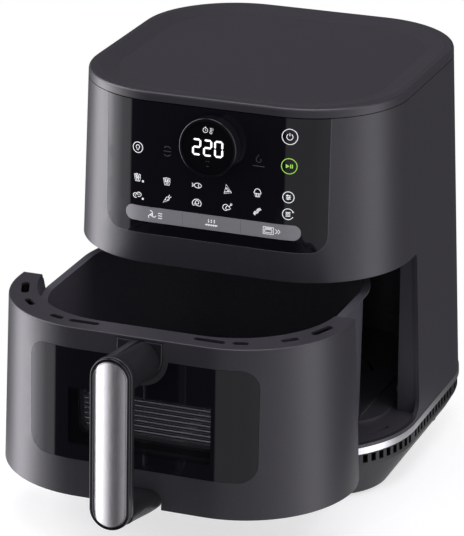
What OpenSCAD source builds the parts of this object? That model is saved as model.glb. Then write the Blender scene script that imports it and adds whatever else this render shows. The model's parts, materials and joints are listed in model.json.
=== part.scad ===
// Air fryer with one windowed drawer, built as an assembly of separate pieces.
// Millimetres. +Z is up, the front faces -Y, and the origin is on the floor
// under the middle of the body. The drawer is drawn partly open.

/* [Body] */
// Width and depth of the body, carried down to the floor plane
body_width = 300; // [260:1:340]
// How far each wall leans in per millimetre of height
wall_lean = 0.0406; // [0:0.0002:0.06]
// Distance from the middle to the centre of each corner's curve
corner_centre = 54; // [44:1:62]
// Wall of the housing and of the drawer's front
wall = 3.5; // [2.5:0.1:4.5]
// Height of the bottom of the base above the floor
foot_height = 2.5; // [1.5:0.1:5]
// Height of the tapered base, from its bottom to the vent band
skirt_height = 25.5; // [18:0.5:34]
// Height of the vent band
band_height = 10.6; // [8:0.2:16]
// Height of the bright trim ring
ring_height = 5.6; // [3:0.2:9]
// Height of the lip in front of the drawer's floor
lip_height = 2.6; // [2:0.1:5]
// Height of the mouth that the drawer closes
mouth_height = 143.3; // [125:0.1:165]
// Height of the hood above the mouth, up to the cap's seam
hood_height = 136.5; // [124:0.5:160]
// Height of the top cap
cap_height = 7.2; // [6:0.1:10]
// Gap at the cap's seam
cap_seam = 0.6; // [0.3:0.1:1.2]
// How far behind the front of the body the drawer's mouth reaches on each side
mouth_depth = 109.8; // [90:0.2:125]
// Radius of the mouth's lower rear corner, seen from the side
mouth_radius = 15; // [5:1:25]
// Radius of the mouth's upper corner
mouth_top_radius = 5; // [1:0.5:5.5]

/* [Cap, base and trim] */
// Width of the flat ledge round the cap
ledge_width = 6.4; // [4:0.2:9]
// Depth of the tray in the cap
tray_depth = 3.2; // [1:0.1:4]
// Width of the slope from the ledge down to the tray
tray_slope = 16; // [6:1:24]
// How far the tray's corner centres stand inside the body's
tray_inset = 7; // [0:1:12]
// Thickness of the cap under the tray
cap_floor = 2.2; // [1.6:0.1:3]
// Radius of the cap's upper edge
cap_edge = 2.6; // [1:0.2:3.5]
// How far the bottom of the base stands inside its top
skirt_taper = 16; // [8:1:22]
// Radius of the base's bottom corners
skirt_corner = 52; // [40:1:66]
// Wall of the base
base_wall = 2.5; // [2:0.1:4]
// Pitch of the slots in the vent band
band_pitch = 8; // [6:0.5:12]
// Width of a slot in the vent band
band_slot = 4.6; // [2:0.1:5.4]
// How far the trim ring stands out
ring_proud = 0.6; // [0:0.1:1.5]
// Radius of a foot
foot_radius = 11; // [7:0.5:13]

/* [Control panel] */
// Width of the control panel, measured straight across
panel_width = 192; // [170:1:204]
// Height of the control panel
panel_height = 112; // [98:1:124]
// Radius of its lower corners
panel_radius = 14; // [6:1:20]
// Thickness of the panel
panel_wall = 3; // [2:0.1:4]
// Height of the touch strip's middle above the panel's lower edge
strip_rise = 17; // [12:0.5:24]
// Length of the touch strip
strip_length = 151.4; // [120:0.2:170]
// Height of the touch strip
strip_height = 12.6; // [9:0.2:16]
// Thickness of the strip let into the panel
strip_wall = 1.6; // [1:0.1:2]
// Height of the dial's middle above the panel's lower edge
dial_rise = 82.7; // [70:0.1:86]
// Radius of the dial
dial_radius = 24.5; // [20:0.5:26]
// How far the dial stands out from the panel
dial_length = 12; // [7:0.5:16]
// Width of the dial's ring round its window
dial_ring_width = 2.6; // [2.2:0.1:7]
// Radial running clearance of the dial's hub in the panel
dial_clearance = 0.06; // [0.02:0.01:0.1]
// Gap between the dial and the fixed window inside it
lens_gap = 0.4; // [0.3:0.05:0.8]

/* [Drawer] */
// How far the drawer is drawn open
drawer_out = 150; // [0:1:200]
// Gap under the closed drawer's front
drawer_gap_low = 1.7; // [1:0.1:3]
// Gap over the closed drawer's front
drawer_gap_high = 1; // [0.6:0.1:3]
// Gap between the closed drawer's sides and the body
drawer_gap_side = 5.2; // [1.5:0.1:8]
// Thickness of the drawer's rim
rim_wall = 2; // [1.6:0.1:3]
// How far the rim's opening stands out beyond the pan's sides
rim_gap_side = 2.6; // [0.5:0.1:4]
// How far the rim's opening stands out beyond the pan's depth
rim_gap_front = 0.4; // [-2:0.1:3]
// Corner radius of that opening
rim_open_radius = 85; // [60:1:95]
// Radius of the rim's outer edge
rim_edge = 1.2; // [0.5:0.1:1.8]
// Width of a rim slot
rim_slot = 5.4; // [1.5:0.1:6.4]

/* [Windows] */
// Width of the drawer's outer window, measured straight across
window_width = 192; // [150:1:204]
// Height of the outer window
window_height = 92.5; // [70:0.5:100]
// Height of the window's lower edge above the drawer's lower edge
window_rise = 31; // [24:0.5:40]
// Corner radius of the outer window
window_radius = 15; // [6:1:24]
// Width of the window in the pan, measured straight across
pane_width = 120; // [90:1:150]
// Height of the window in the pan
pane_height = 71; // [50:1:76]
// Height of its lower edge above the drawer's lower edge
pane_rise = 46; // [38:0.5:52]
// Corner radius of the pan's window
pane_radius = 6; // [3:0.5:12]
// Thickness of the pan's glass
pane_wall = 3; // [2:0.1:4]
// How far the pan's glass stands in front of the pan's wall
pane_stand = 6.2; // [0.3:0.1:9]

/* [Handle] */
// Reach of the handle's face in front of the drawer
handle_reach = 58; // [46:0.5:70]
// Width of the grip
grip_width = 34; // [26:0.5:40]
// Height of the grip
grip_height = 141; // [110:0.5:150]
// Height of the grip's lower end above the drawer's lower edge
grip_rise = 2; // [0:0.5:12]
// Depth of the grip, from its face to its back
grip_depth = 14; // [10:0.5:20]
// Width of the frame round the metal insert
frame_width = 3.1; // [2:0.1:6]
// Thickness of that frame
frame_wall = 3; // [2:0.1:5]
// Radius of the upper bracket
bracket_radius = 19.6; // [15:0.2:22]
// Height of the upper bracket's centre above the drawer's lower edge
bracket_rise = 125.5; // [112:0.5:130]
// Width of the drawer's border round the bracket
bracket_border = 4.6; // [3:0.2:8]
// Radius of the neck where it leaves the upper bracket
neck_radius = 16.8; // [13:0.1:19]
// Height of the lower bracket
foot_bracket_height = 16; // [10:0.5:22]
// Clearance of pieces that are let into one another
fit = 0.2; // [0.1:0.05:0.4]

/* [Pan and plate] */
// Half-width of the pan over its flange
pan_half = 123.4; // [105:0.2:124.5]
// Half-depth of the pan over its flange
pan_half_deep = 121.1; // [105:0.1:124]
// Distance of the pan's middle in front of the body's middle
pan_forward = 2.5; // [0:0.5:6]
// Corner radius of the pan's flange
pan_radius = 85; // [60:1:95]
// Width of the pan's flange
flange_width = 5.6; // [4:0.2:8]
// Metal thickness of the pan
pan_wall = 1.2; // [0.8:0.1:2]
// Depth of the pan's flange below the top of the drawer
flange_drop = 12; // [10:0.5:18]
// How far the pan's walls lean in, from flange to floor
pan_lean = 2; // [1:0.2:12]
// Radius between the pan's wall and floor
pan_fillet = 12; // [6:1:20]
// Gap between the pan and its rails
rail_gap = 0.5; // [0.3:0.1:1.5]
// Height of the crisper plate above the pan's floor
plate_rise = 16; // [12:0.5:24]
// Thickness of the crisper plate
plate_wall = 1.6; // [1.2:0.1:2.5]
// Gap between the crisper plate and the pan's wall
plate_gap = 2; // [1:0.1:4]
// Pitch of the plate's ribs
rib_pitch = 9.5; // [8:0.5:14]
// Height of a rib over the plate
rib_height = 1.4; // [0.8:0.1:2.5]

/* [Cavity, heater and fan] */
// Gap between the pan's sides and the cavity's
cavity_gap_side = 4.6; // [3:0.1:7.5]
// Gap between the closed pan and the cavity's back
cavity_gap_back = 6.4; // [3:0.1:9]
// Corner radius of the cavity
cavity_radius = 90; // [70:1:92]
// Sheet thickness of the cavity's liner
liner_wall = 1.5; // [1:0.1:2.2]
// Sheet thickness of the floor under the drawer
floor_wall = 2.2; // [1.6:0.1:3]
// Radius of the heater housing
heater_radius = 106; // [90:1:108]
// Height of the heater housing
heater_height = 48; // [40:1:56]
// Sheet thickness of the heater housing and shield
sheet = 0.8; // [0.6:0.1:1.5]
// Radius of the heating element's tube
element_tube = 3.2; // [2.5:0.1:4]
// Radius of the guard's wire
guard_wire = 1; // [0.8:0.1:1.6]
// Radius of the motor shaft
shaft_radius = 4; // [3:0.1:6]
// Radial running clearance of the shaft
shaft_clearance = 0.05; // [0.02:0.01:0.1]
// Radius of the hot-air fan
fan_radius = 60; // [50:1:64]
// Radius of the cooling fan
cooler_radius = 52; // [40:1:60]
// Radius of the motor
motor_radius = 29; // [24:0.5:34]
// Height of the motor
motor_height = 32; // [26:0.5:34]

/* [Hidden] */
curve = 96;
far = 400;
tilt = atan(wall_lean);
base_z = foot_height;
band_z = base_z + skirt_height;
ring_z = band_z + band_height;
shell_z = ring_z + ring_height;
mouth_z = shell_z + lip_height;
hood_z = mouth_z + mouth_height;
seam_z = hood_z + hood_height;
top_z = seam_z + cap_seam + cap_height;
mouth_y = mouth_depth - body_width / 2;
drawer_z = mouth_z + drawer_gap_low;
drawer_top = hood_z - drawer_gap_high;
wing_y = mouth_y - drawer_gap_side;
rim_z = drawer_top - rim_wall;
panel_z = seam_z - panel_height;
strip_z = panel_z + strip_rise;
cap_tongue = 4;
dial_z = min(panel_z + dial_rise, seam_z - cap_tongue - dial_radius - 0.5);
dial_bore = dial_radius - dial_ring_width;
hub_radius = dial_bore + 2;
lens_radius = dial_bore - lens_gap;
rim_open_half = pan_half + rim_gap_side;
rim_open_front = pan_half_deep + rim_gap_front;
cavity_half = pan_half + cavity_gap_side;
cavity_back = pan_half_deep - pan_forward + cavity_gap_back;
// Heights on the drawer's front are given for this height of mouth, and follow it
usual_mouth = 143.3;
tall = mouth_height / usual_mouth;
window_z = drawer_z + window_rise * tall;
window_high = window_height * tall;
pane_z = drawer_z + pane_rise * tall;
pane_high = pane_height * tall;
bracket_up = bracket_rise * tall;
bracket_z = drawer_z + bracket_up;
grip_high = grip_height * tall;
grip_z = drawer_z + grip_rise;
grip_end = grip_width / 2;
flange_z = drawer_top - flange_drop;
pan_cx = pan_half - pan_radius;
pan_cy = pan_half_deep - pan_radius;
platform = 2;
rail_height = 1.7;
guide_x = pan_half - 19.4;
pan_z = mouth_z + platform + rail_height + rail_gap;
plate_z = pan_z + pan_wall + plate_rise;
ceiling_z = hood_z + 0.9;
heater_z = ceiling_z + 2;
heater_top = heater_z + heater_height;
shield_z = heater_top + 5;
motor_z = shield_z + 8;
shaft_top = motor_z + motor_height + 22;
element_z = heater_z + 14;
guard_z = heater_z + 4;
fan_z = heater_z + 26;
cooler_z = motor_z + motor_height + 5;
element_loops = [70, 88];
element_split = 12;
element_ends = [for (r = element_loops) [element_split, sqrt(r * r - element_split * element_split)]];
collar_radius = element_tube + 0.8;
power_x = half_at(heater_top) - 22.2;
lamp_at = -(heater_radius + 18.4) * sqrt(0.5);
probe_x = 68;
probe_radius = 2;
liner_edge = wall + fit + 0.1;
screw_x = (corner_centre + pan_cx + sqrt(0.5) * (corner_at(rim_z) - wall + pan_radius)) / 2;
wing_screw_x = (half_at(mouth_z) + pan_half) / 2 - 2.75;
wing_screw_y = wing_y - 16;

// Colours
charcoal = [0.21, 0.21, 0.23];
black = [0.05, 0.05, 0.06];
smoke = [0.07, 0.07, 0.08, 0.75];
silver = [0.78, 0.78, 0.80];
steel = [0.66, 0.66, 0.68];
dark_steel = [0.33, 0.33, 0.35];
board_green = [0.10, 0.32, 0.18];
rubber_black = [0.08, 0.08, 0.08];
copper = [0.72, 0.45, 0.25];
clear = [0.85, 0.88, 0.90, 0.5];
ceramic = [0.92, 0.90, 0.85];

// Half-width of the body at a height
function half_at(z) = body_width / 2 - wall_lean * z;
// Radius of the body's corner at a height
function corner_at(z) = half_at(z) - corner_centre;
// Radius of the pan's outer corner at a height
function pan_corner_at(z) =
  pan_radius - flange_width - pan_lean * min(1, (flange_z - z) / (flange_z - pan_z - pan_fillet));

// Sweeps an outline, drawn as distance out from the corner centre against height, round four corners
module sweep(cx, cy) {
  translate([cx, cy, 0]) rotate_extrude(angle = 90, $fn = curve) children();
  translate([-cx, cy, 0]) rotate([0, 0, 90]) rotate_extrude(angle = 90, $fn = curve) children();
  translate([-cx, -cy, 0]) rotate([0, 0, 180]) rotate_extrude(angle = 90, $fn = curve) children();
  translate([cx, -cy, 0]) rotate([0, 0, 270]) rotate_extrude(angle = 90, $fn = curve) children();
  translate([cx, cy, 0]) rotate([90, 0, 0]) linear_extrude(2 * cy) children();
  translate([-cx, cy, 0]) rotate([90, 0, 90]) linear_extrude(2 * cx) children();
  translate([-cx, -cy, 0]) rotate([90, 0, 180]) linear_extrude(2 * cy) children();
  translate([cx, -cy, 0]) rotate([90, 0, 270]) linear_extrude(2 * cx) children();
}

// A stretch of the body's leaning wall, between two depths under its surface
module body_wall(z0, z1, from, to) {
  sweep(corner_centre, corner_centre)
    polygon([[corner_at(z0) - to, z0], [corner_at(z0) - from, z0],
             [corner_at(z1) - from, z1], [corner_at(z1) - to, z1]]);
}

// The solid inside the body's walls, at a depth under the surface
module body_core(z0, z1, depth) {
  sweep(corner_centre, corner_centre)
    polygon([[0, z0], [corner_at(z0) - depth, z0], [corner_at(z1) - depth, z1], [0, z1]]);
  translate([-corner_centre, -corner_centre, z0])
    cube([2 * corner_centre, 2 * corner_centre, z1 - z0]);
}

// A flat plate with round corners
module slab(cx, cy, r, h) {
  linear_extrude(h) {
    square([2 * (cx + r), 2 * cy], center = true);
    square([2 * cx, 2 * (cy + r)], center = true);
    for (x = [-cx, cx], y = [-cy, cy]) translate([x, y]) circle(r, $fn = curve);
  }
}

// A rectangle with round corners
module round_rect(w, h, r) {
  square([w - 2 * r, h], center = true);
  square([w, h - 2 * r], center = true);
  for (x = [r - w / 2, w / 2 - r], y = [r - h / 2, h / 2 - r]) translate([x, y]) circle(r, $fn = 48);
}

// A bar with round ends, along X
module stadium(w, h) {
  square([w - h, h], center = true);
  for (x = [h / 2 - w / 2, w / 2 - h / 2]) translate([x, 0]) circle(h / 2, $fn = 64);
}

// Carries an outline straight through the front wall
module through_front(z) {
  translate([0, 0, z]) rotate([90, 0, 0]) linear_extrude(far) children();
}

// Puts children on the front face at a height: X across, Y up the face, Z out of it
module on_face(z) {
  translate([0, -half_at(z), z]) rotate([90 - tilt, 0, 0]) children();
}

// Moves the drawer's pieces from the closed place to the drawn one
module in_drawer() {
  translate([0, -drawer_out, 0]) children();
}

// The space that the drawer's front fills, seen from the side
module mouth() {
  rotate([90, 0, 90]) linear_extrude(far, center = true) difference() {
    translate([mouth_y - 200, mouth_z]) square([200, mouth_height]);
    difference() {
      translate([mouth_y - mouth_radius, mouth_z]) square(mouth_radius);
      translate([mouth_y - mouth_radius, mouth_z + mouth_radius]) circle(mouth_radius, $fn = 64);
    }
    difference() {
      translate([mouth_y - mouth_top_radius, hood_z - mouth_top_radius]) square(mouth_top_radius);
      translate([mouth_y - mouth_top_radius, hood_z - mouth_top_radius]) circle(mouth_top_radius, $fn = 48);
    }
  }
}

// Outline of the panel, open at the top under the cap
module panel_outline(gap) {
  rise = panel_height + 40;
  translate([0, rise / 2]) round_rect(panel_width - 2 * gap, rise - 2 * gap, panel_radius);
}

// Upper bracket's outline, round below and straight up to the rim
module bracket_outline(r) {
  circle(r, $fn = 64);
  translate([-r, 0]) square([2 * r, rim_z - bracket_z + 8]);
}

// Lower bracket's outline
module foot_bracket_outline(gap) {
  w = 2 * bracket_radius + 2 * gap;
  translate([0, foot_bracket_height / 2 - 6]) round_rect(w, foot_bracket_height + 12 + 2 * gap, 10);
}

module body_shell() {
  color(charcoal) difference() {
    body_wall(shell_z, seam_z, 0, wall);
    mouth();
    through_front(panel_z) panel_outline(0);
    translate([0, 0, hood_z + 68]) rotate([-90, 0, 0]) linear_extrude(far) round_rect(110, 78, 8);
    translate([62, 0, mouth_z + 20]) rotate([-90, 0, 0]) cylinder(h = far, r = 7.2, $fn = 48);
  }
}

module top_cap() {
  z0 = seam_z + cap_seam;
  tray_z = top_z - tray_depth;
  tray_c = corner_centre - tray_inset;
  bowl_top = corner_at(top_z) - ledge_width + tray_inset;
  bowl_low = bowl_top - tray_slope;
  color(charcoal) difference() {
    union() {
      sweep(corner_centre, corner_centre) difference() {
        polygon([[0, z0], [corner_at(z0), z0], [corner_at(top_z), top_z], [0, top_z]]);
        translate([corner_at(top_z) - cap_edge, top_z - cap_edge]) difference() {
          square(cap_edge + 2);
          circle(cap_edge, $fn = 48);
        }
      }
      translate([-corner_centre, -corner_centre, z0])
        cube([2 * corner_centre, 2 * corner_centre, top_z - z0]);
      body_wall(seam_z - cap_tongue, z0, liner_edge, liner_edge + 2);
    }
    sweep(tray_c, tray_c)
      polygon([[0, tray_z], [bowl_low, tray_z], [bowl_top, top_z], [bowl_top, top_z + 1], [0, top_z + 1]]);
    translate([-tray_c, -tray_c, tray_z]) cube([2 * tray_c, 2 * tray_c, tray_depth + 1]);
    translate([0, 0, z0 - 1]) slab(tray_c, tray_c, bowl_low - 2, tray_z - cap_floor - z0 + 1);
  }
}

module trim_ring() {
  color(silver) body_wall(ring_z, shell_z, -ring_proud, wall);
}

module vent_band() {
  z = band_z + (band_height - 7) / 2;
  steps = floor(2 * corner_centre / band_pitch / 2);
  turns = floor(90 / (band_pitch / (corner_at(band_z) * PI / 180)));
  color(charcoal) difference() {
    body_wall(band_z, ring_z, 1, wall);
    for (i = [-steps:steps]) translate([i * band_pitch - band_slot / 2, -far / 2, z]) cube([band_slot, far, 7]);
    for (i = [-steps:steps]) translate([-far / 2, i * band_pitch - band_slot / 2, z]) cube([far, band_slot, 7]);
    for (k = [0:3]) rotate([0, 0, 90 * k]) translate([corner_centre, corner_centre, 0])
      for (j = [1:turns - 1]) rotate([0, 0, j * 90 / turns]) translate([60, -band_slot / 2, z]) cube([60, band_slot, 7]);
  }
}

// Places of the feet and of the base screws
edge = half_at(base_z);
feet_at = [for (s = [1, -1], p = [[edge - 29, edge - 93], [edge - 47, 53 - edge]]) [s * p[0], p[1]]];
bosses_at = [for (s = [1, -1], p = [[edge - 58, edge - 50], [edge - 38, 88 - edge]]) [s * p[0], p[1]]];

module base_pan() {
  low = half_at(band_z) - skirt_taper - skirt_corner;
  color(charcoal) difference() {
    union() {
      difference() {
        hull() {
          translate([0, 0, band_z - 2]) slab(corner_centre, corner_centre, corner_at(band_z) - 1.6, 2);
          translate([0, 0, base_z]) slab(low, low, skirt_corner, 1);
        }
        hull() {
          translate([0, 0, band_z - 1]) slab(corner_centre, corner_centre, corner_at(band_z) - 1.6 - base_wall, 2);
          translate([0, 0, base_z + base_wall]) slab(low, low, skirt_corner - base_wall, 1);
        }
      }
      for (p = bosses_at) translate([p[0], p[1], base_z + base_wall])
        cylinder(h = 30 - base_z - base_wall, r = 6.5, $fn = 32);
    }
    for (p = bosses_at) translate([p[0], p[1], base_z - 1]) cylinder(h = 25 - base_z + 1, r = 4.4, $fn = 32);
    for (p = bosses_at) translate([p[0], p[1], 20]) cylinder(h = 12, r = 2.2, $fn = 32);
    for (p = feet_at) translate([p[0], p[1], base_z - 1]) cylinder(h = base_wall + 2, r = 4.1, $fn = 32);
    for (i = [-7:7]) translate([i * 8 - 1.8, -40, base_z - 1]) cube([3.6, 80, base_wall + 2]);
  }
}

module feet() {
  color(rubber_black) for (p = feet_at) translate([p[0], p[1], 0]) {
    cylinder(h = foot_height, r = foot_radius, $fn = 48);
    cylinder(h = foot_height + base_wall + 0.8, r = 4, $fn = 32);
  }
}

module base_screws() {
  color(steel) for (p = bosses_at) translate([p[0], p[1], 0]) {
    translate([0, 0, 22]) cylinder(h = 3, r = 4, $fn = 32);
    translate([0, 0, 25]) cylinder(h = 5, r = 2, $fn = 32);
    translate([0, 0, 30]) cylinder(h = 12, r = 1.6, $fn = 32);
  }
}

module cavity_liner() {
  cx = cavity_half - cavity_radius;
  cy = cavity_back - cavity_radius;
  color(dark_steel) difference() {
    union() {
      translate([0, 0, mouth_z - floor_wall])
        slab(corner_centre, corner_centre, corner_at(mouth_z) - liner_edge, floor_wall);
      translate([0, 18, mouth_z]) slab(cavity_half - 46, cavity_back - 62, 40, platform);
      difference() {
        sweep(cx, cy) {
          translate([cavity_radius, mouth_z]) square([liner_wall, ceiling_z - mouth_z]);
          translate([cavity_radius - 1.2, mouth_z + 17]) square([1.2 + liner_wall, 5]);
        }
        translate([-far / 2, mouth_y + 2 - far, 0]) cube([far, far, far]);
      }
      intersection() {
        body_core(mouth_z, ceiling_z, liner_edge);
        union() {
          translate([cavity_half, mouth_y + 1, mouth_z]) cube([40, liner_wall, ceiling_z - mouth_z]);
          translate([-cavity_half - 40, mouth_y + 1, mouth_z]) cube([40, liner_wall, ceiling_z - mouth_z]);
        }
      }
      translate([0, 0, ceiling_z])
        slab(corner_centre, corner_centre, corner_at(heater_z) - liner_edge, heater_z - ceiling_z);
      for (p = bosses_at) translate([p[0], p[1], 30]) cylinder(h = mouth_z - 30, r = 5, $fn = 32);
    }
    translate([0, -pan_forward, ceiling_z - 1]) cylinder(h = 5, r = heater_radius - 4, $fn = curve);
    translate([lamp_at, lamp_at, ceiling_z - 1]) cylinder(h = 5, r = 11, $fn = 32);
    for (p = bosses_at) translate([p[0], p[1], 29]) cylinder(h = 14, r = 1.62, $fn = 32);
    for (s = [-1, 1]) translate([s * 127, -84, mouth_z - 3]) rotate([0, 0, -s * 25]) translate([-1.5, -11, 0]) cube([3, 22, 6]);
    for (a = [20, 110, 200, 290]) rotate([0, 0, a]) translate([0, 0, mouth_z - 3])
      rotate_extrude(angle = 50, $fn = curve) translate([86, 0]) square([3.6, 8]);
  }
}

module drawer_guides() {
  color(dark_steel) for (s = [-1, 1])
    translate([s * guide_x - 1.5, -70, mouth_z + platform]) cube([3, 160, rail_height]);
}

module control_panel() {
  color(black) difference() {
    intersection() {
      body_wall(panel_z - 1, seam_z - fit, 0, panel_wall);
      through_front(panel_z) panel_outline(fit);
    }
    on_face(dial_z) translate([0, 0, -10]) cylinder(h = 20, r = hub_radius + dial_clearance, $fn = 64);
    intersection() {
      body_wall(strip_z - 20, strip_z + 20, -2, strip_wall);
      through_front(strip_z) stadium(strip_length + fit, strip_height + fit);
    }
  }
}

module mode_strip() {
  color(silver) intersection() {
    body_wall(strip_z - 20, strip_z + 20, -0.3, strip_wall);
    through_front(strip_z) stadium(strip_length, strip_height);
  }
}

module display_lens() {
  color(smoke) on_face(dial_z) rotate_extrude($fn = 64)
    polygon([[0, dial_length - 3.2], [lens_radius - 3.5, dial_length - 3.2], [lens_radius - 3.5, -12.4],
             [lens_radius, -12.4], [lens_radius, dial_length - 0.8], [0, dial_length - 0.8]]);
}

module dial_ring() {
  color(black) on_face(dial_z) rotate_extrude($fn = 64) difference() {
    translate([dial_bore, 0.5]) square([dial_radius - dial_bore, dial_length - 0.5]);
    translate([dial_radius - 1, dial_length - 1]) difference() {
      square(2);
      circle(1, $fn = 32);
    }
  }
}

module dial_hub() {
  color(dark_steel) on_face(dial_z) rotate_extrude($fn = 64) {
    translate([dial_bore, -5.4]) square([hub_radius - dial_bore, 5.9]);
    translate([dial_bore, -5.4]) square([hub_radius + 1 - dial_bore, 1.6]);
  }
}

module rotary_encoder() {
  color(black) on_face(dial_z) rotate_extrude($fn = 64)
    translate([lens_radius + 0.3, -12.4]) square([5, 6.4]);
}

module control_board() {
  color(board_green) on_face(dial_z) translate([0, 0, -14]) linear_extrude(1.6)
    translate([0, -30]) square([150, 90], center = true);
}

module board_parts() {
  color(black) on_face(dial_z) translate([0, 0, -14.05]) mirror([0, 0, 1]) linear_extrude(4) {
    for (x = [-52, 0, 48]) translate([x, -48]) square([16, 12], center = true);
    translate([0, -10]) square([34, 22], center = true);
  }
}

module power_board() {
  color(board_green) translate([power_x, -45, heater_z + 4]) cube([1.6, 90, 82]);
}

module power_parts() {
  color(copper) translate([power_x + 1.65, 0, heater_z]) {
    translate([0, -36, 12]) cube([9, 18, 18]);
    translate([0, -8, 14]) cube([8, 24, 14]);
    for (y = [-28, -6, 18]) translate([0, y, 52]) rotate([0, 90, 0]) cylinder(h = 8, r = 6, $fn = 32);
  }
}

module heater_housing() {
  color(steel) translate([0, -pan_forward, 0]) difference() {
    rotate_extrude($fn = curve) {
      translate([heater_radius - sheet, heater_z]) square([sheet, heater_height]);
      translate([heater_radius - 4, heater_z]) square([12, sheet]);
      translate([0, heater_top - sheet]) square([heater_radius, sheet]);
    }
    translate([0, 0, heater_top - 5]) cylinder(h = 10, r = shaft_radius + 2, $fn = 48);
    for (p = element_ends) translate([p[0], p[1], heater_top - 5]) cylinder(h = 10, r = collar_radius + 0.1, $fn = 32);
    translate([probe_x, probe_x, heater_top - 5]) cylinder(h = 10, r = probe_radius + 0.1, $fn = 32);
  }
}

module heating_element() {
  color(dark_steel) translate([0, -pan_forward, 0]) {
    for (r = element_loops) rotate([0, 0, 90 + asin(element_split / r)]) translate([0, 0, element_z])
      rotate_extrude(angle = 360 - 2 * asin(element_split / r), $fn = curve)
        translate([r, 0]) circle(element_tube, $fn = 24);
    translate([-element_split, element_ends[0][1], element_z]) rotate([-90, 0, 0])
      cylinder(h = element_ends[1][1] - element_ends[0][1], r = element_tube, $fn = 24);
    for (p = element_ends) translate([p[0], p[1], element_z])
      cylinder(h = heater_top - element_z + 9, r = element_tube - 0.1, $fn = 24);
    for (p = element_ends, s = [-1, 1]) translate([s * p[0], p[1], element_z]) sphere(element_tube + 0.3, $fn = 32);
  }
}

module element_collars() {
  color(ceramic) translate([0, -pan_forward, heater_top - sheet]) for (p = element_ends)
    translate([p[0], p[1], 0]) difference() {
      union() {
        cylinder(h = 6, r = collar_radius, $fn = 32);
        translate([0, 0, sheet]) cylinder(h = 2.5, r = 7, $fn = 32);
      }
      translate([0, 0, -1]) cylinder(h = 9, r = element_tube + 0.1, $fn = 32);
    }
}

module element_guard() {
  color(steel) translate([0, -pan_forward, guard_z]) {
    for (r = [24, 48, 72, 94]) rotate_extrude($fn = 72) translate([r, 0]) circle(guard_wire, $fn = 16);
    for (a = [0:60:300]) rotate([0, 90, a + 15]) translate([-guard_wire * 1.4, 0, 23])
      cylinder(h = heater_radius - sheet - 23 - 0.02, r = guard_wire, $fn = 16);
  }
}

// Straight blades standing on a ring
module blades(count, inner, outer, height, thick, lean) {
  for (i = [0:count - 1]) rotate([0, 0, i * 360 / count]) translate([inner, 0, 0])
    rotate([0, 0, lean]) translate([0, -thick / 2, 0]) cube([outer - inner, thick, height]);
}

module convection_fan() {
  color(steel) translate([0, -pan_forward, fan_z]) difference() {
    union() {
      cylinder(h = 14, r = 11, $fn = 48);
      translate([0, 0, 12]) cylinder(h = 1.6, r = fan_radius - 8, $fn = curve);
      blades(10, 20, fan_radius, 12.5, 1.5, 8);
    }
    translate([0, 0, -1]) cylinder(h = 20, r = shaft_radius + 0.02, $fn = 48);
  }
}

module fan_nut() {
  color(steel) translate([0, -pan_forward, fan_z - 5]) difference() {
    cylinder(h = 4.9, r = 7, $fn = 6);
    translate([0, 0, -1]) cylinder(h = 8, r = shaft_radius + 0.02, $fn = 48);
  }
}

module motor_shaft() {
  color(silver) translate([0, -pan_forward, fan_z - 7]) cylinder(h = shaft_top - fan_z + 7, r = shaft_radius, $fn = 48);
}

module heat_shield() {
  color(steel) translate([0, -pan_forward, 0]) difference() {
    union() {
      translate([0, 0, shield_z]) cylinder(h = sheet, r = heater_radius + 8, $fn = curve);
      for (a = [45:90:315]) rotate([0, 0, a]) translate([80, 0, heater_top])
        cylinder(h = shield_z - heater_top + sheet / 2, r = 4, $fn = 32);
    }
    translate([0, 0, shield_z - 1]) cylinder(h = 5, r = shaft_radius + 3, $fn = 48);
    for (p = element_ends) translate([p[0], p[1], shield_z - 1]) cylinder(h = 5, r = 6, $fn = 32);
  }
}

module motor_bracket() {
  color(dark_steel) translate([0, -pan_forward, 0]) difference() {
    union() {
      translate([0, 0, motor_z - 1.6]) cylinder(h = 1.6, r = 44, $fn = 64);
      for (a = [30:120:270]) rotate([0, 0, a]) translate([38, 0, shield_z + sheet])
        cylinder(h = motor_z - 1 - shield_z - sheet, r = 4, $fn = 32);
    }
    translate([0, 0, motor_z - 5]) cylinder(h = 10, r = shaft_radius + 3, $fn = 48);
  }
}

module motor() {
  color(silver) translate([0, -pan_forward, motor_z]) difference() {
    union() {
      cylinder(h = motor_height, r = motor_radius, $fn = 64);
      translate([0, 0, motor_height]) cylinder(h = 3, r = 9, $fn = 48);
    }
    translate([0, 0, -1]) cylinder(h = motor_height + 6, r = shaft_radius + shaft_clearance, $fn = 48);
  }
}

module cooling_fan() {
  color(black) translate([0, -pan_forward, cooler_z]) difference() {
    union() {
      cylinder(h = 13, r = 10, $fn = 48);
      cylinder(h = 1.6, r = cooler_radius - 4, $fn = 72);
      blades(12, 16, cooler_radius, 12, 1.4, -10);
    }
    translate([0, 0, -1]) cylinder(h = 20, r = shaft_radius + 0.02, $fn = 48);
  }
}

module temperature_probe() {
  color(steel) translate([probe_x, probe_x - pan_forward, 0]) {
    translate([0, 0, heater_top]) cylinder(h = 2, r = 6, $fn = 32);
    translate([0, 0, element_z]) cylinder(h = heater_top - element_z + 1, r = probe_radius, $fn = 32);
    translate([0, 0, element_z]) sphere(probe_radius, $fn = 32);
  }
}

module thermal_cutout() {
  color(black) translate([-60, -40, heater_top]) {
    cylinder(h = 4, r = 9, $fn = 48);
  }
}

module lamp() {
  color(clear) translate([lamp_at, lamp_at, heater_z + 0.1]) {
    cylinder(h = 16, r = 7, $fn = 32);
    translate([0, 0, 16]) sphere(7, $fn = 32);
  }
}

module lamp_cover() {
  color(clear) translate([lamp_at, lamp_at, ceiling_z]) {
    cylinder(h = heater_z - ceiling_z, r = 10.9, $fn = 32);
  }
}

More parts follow.
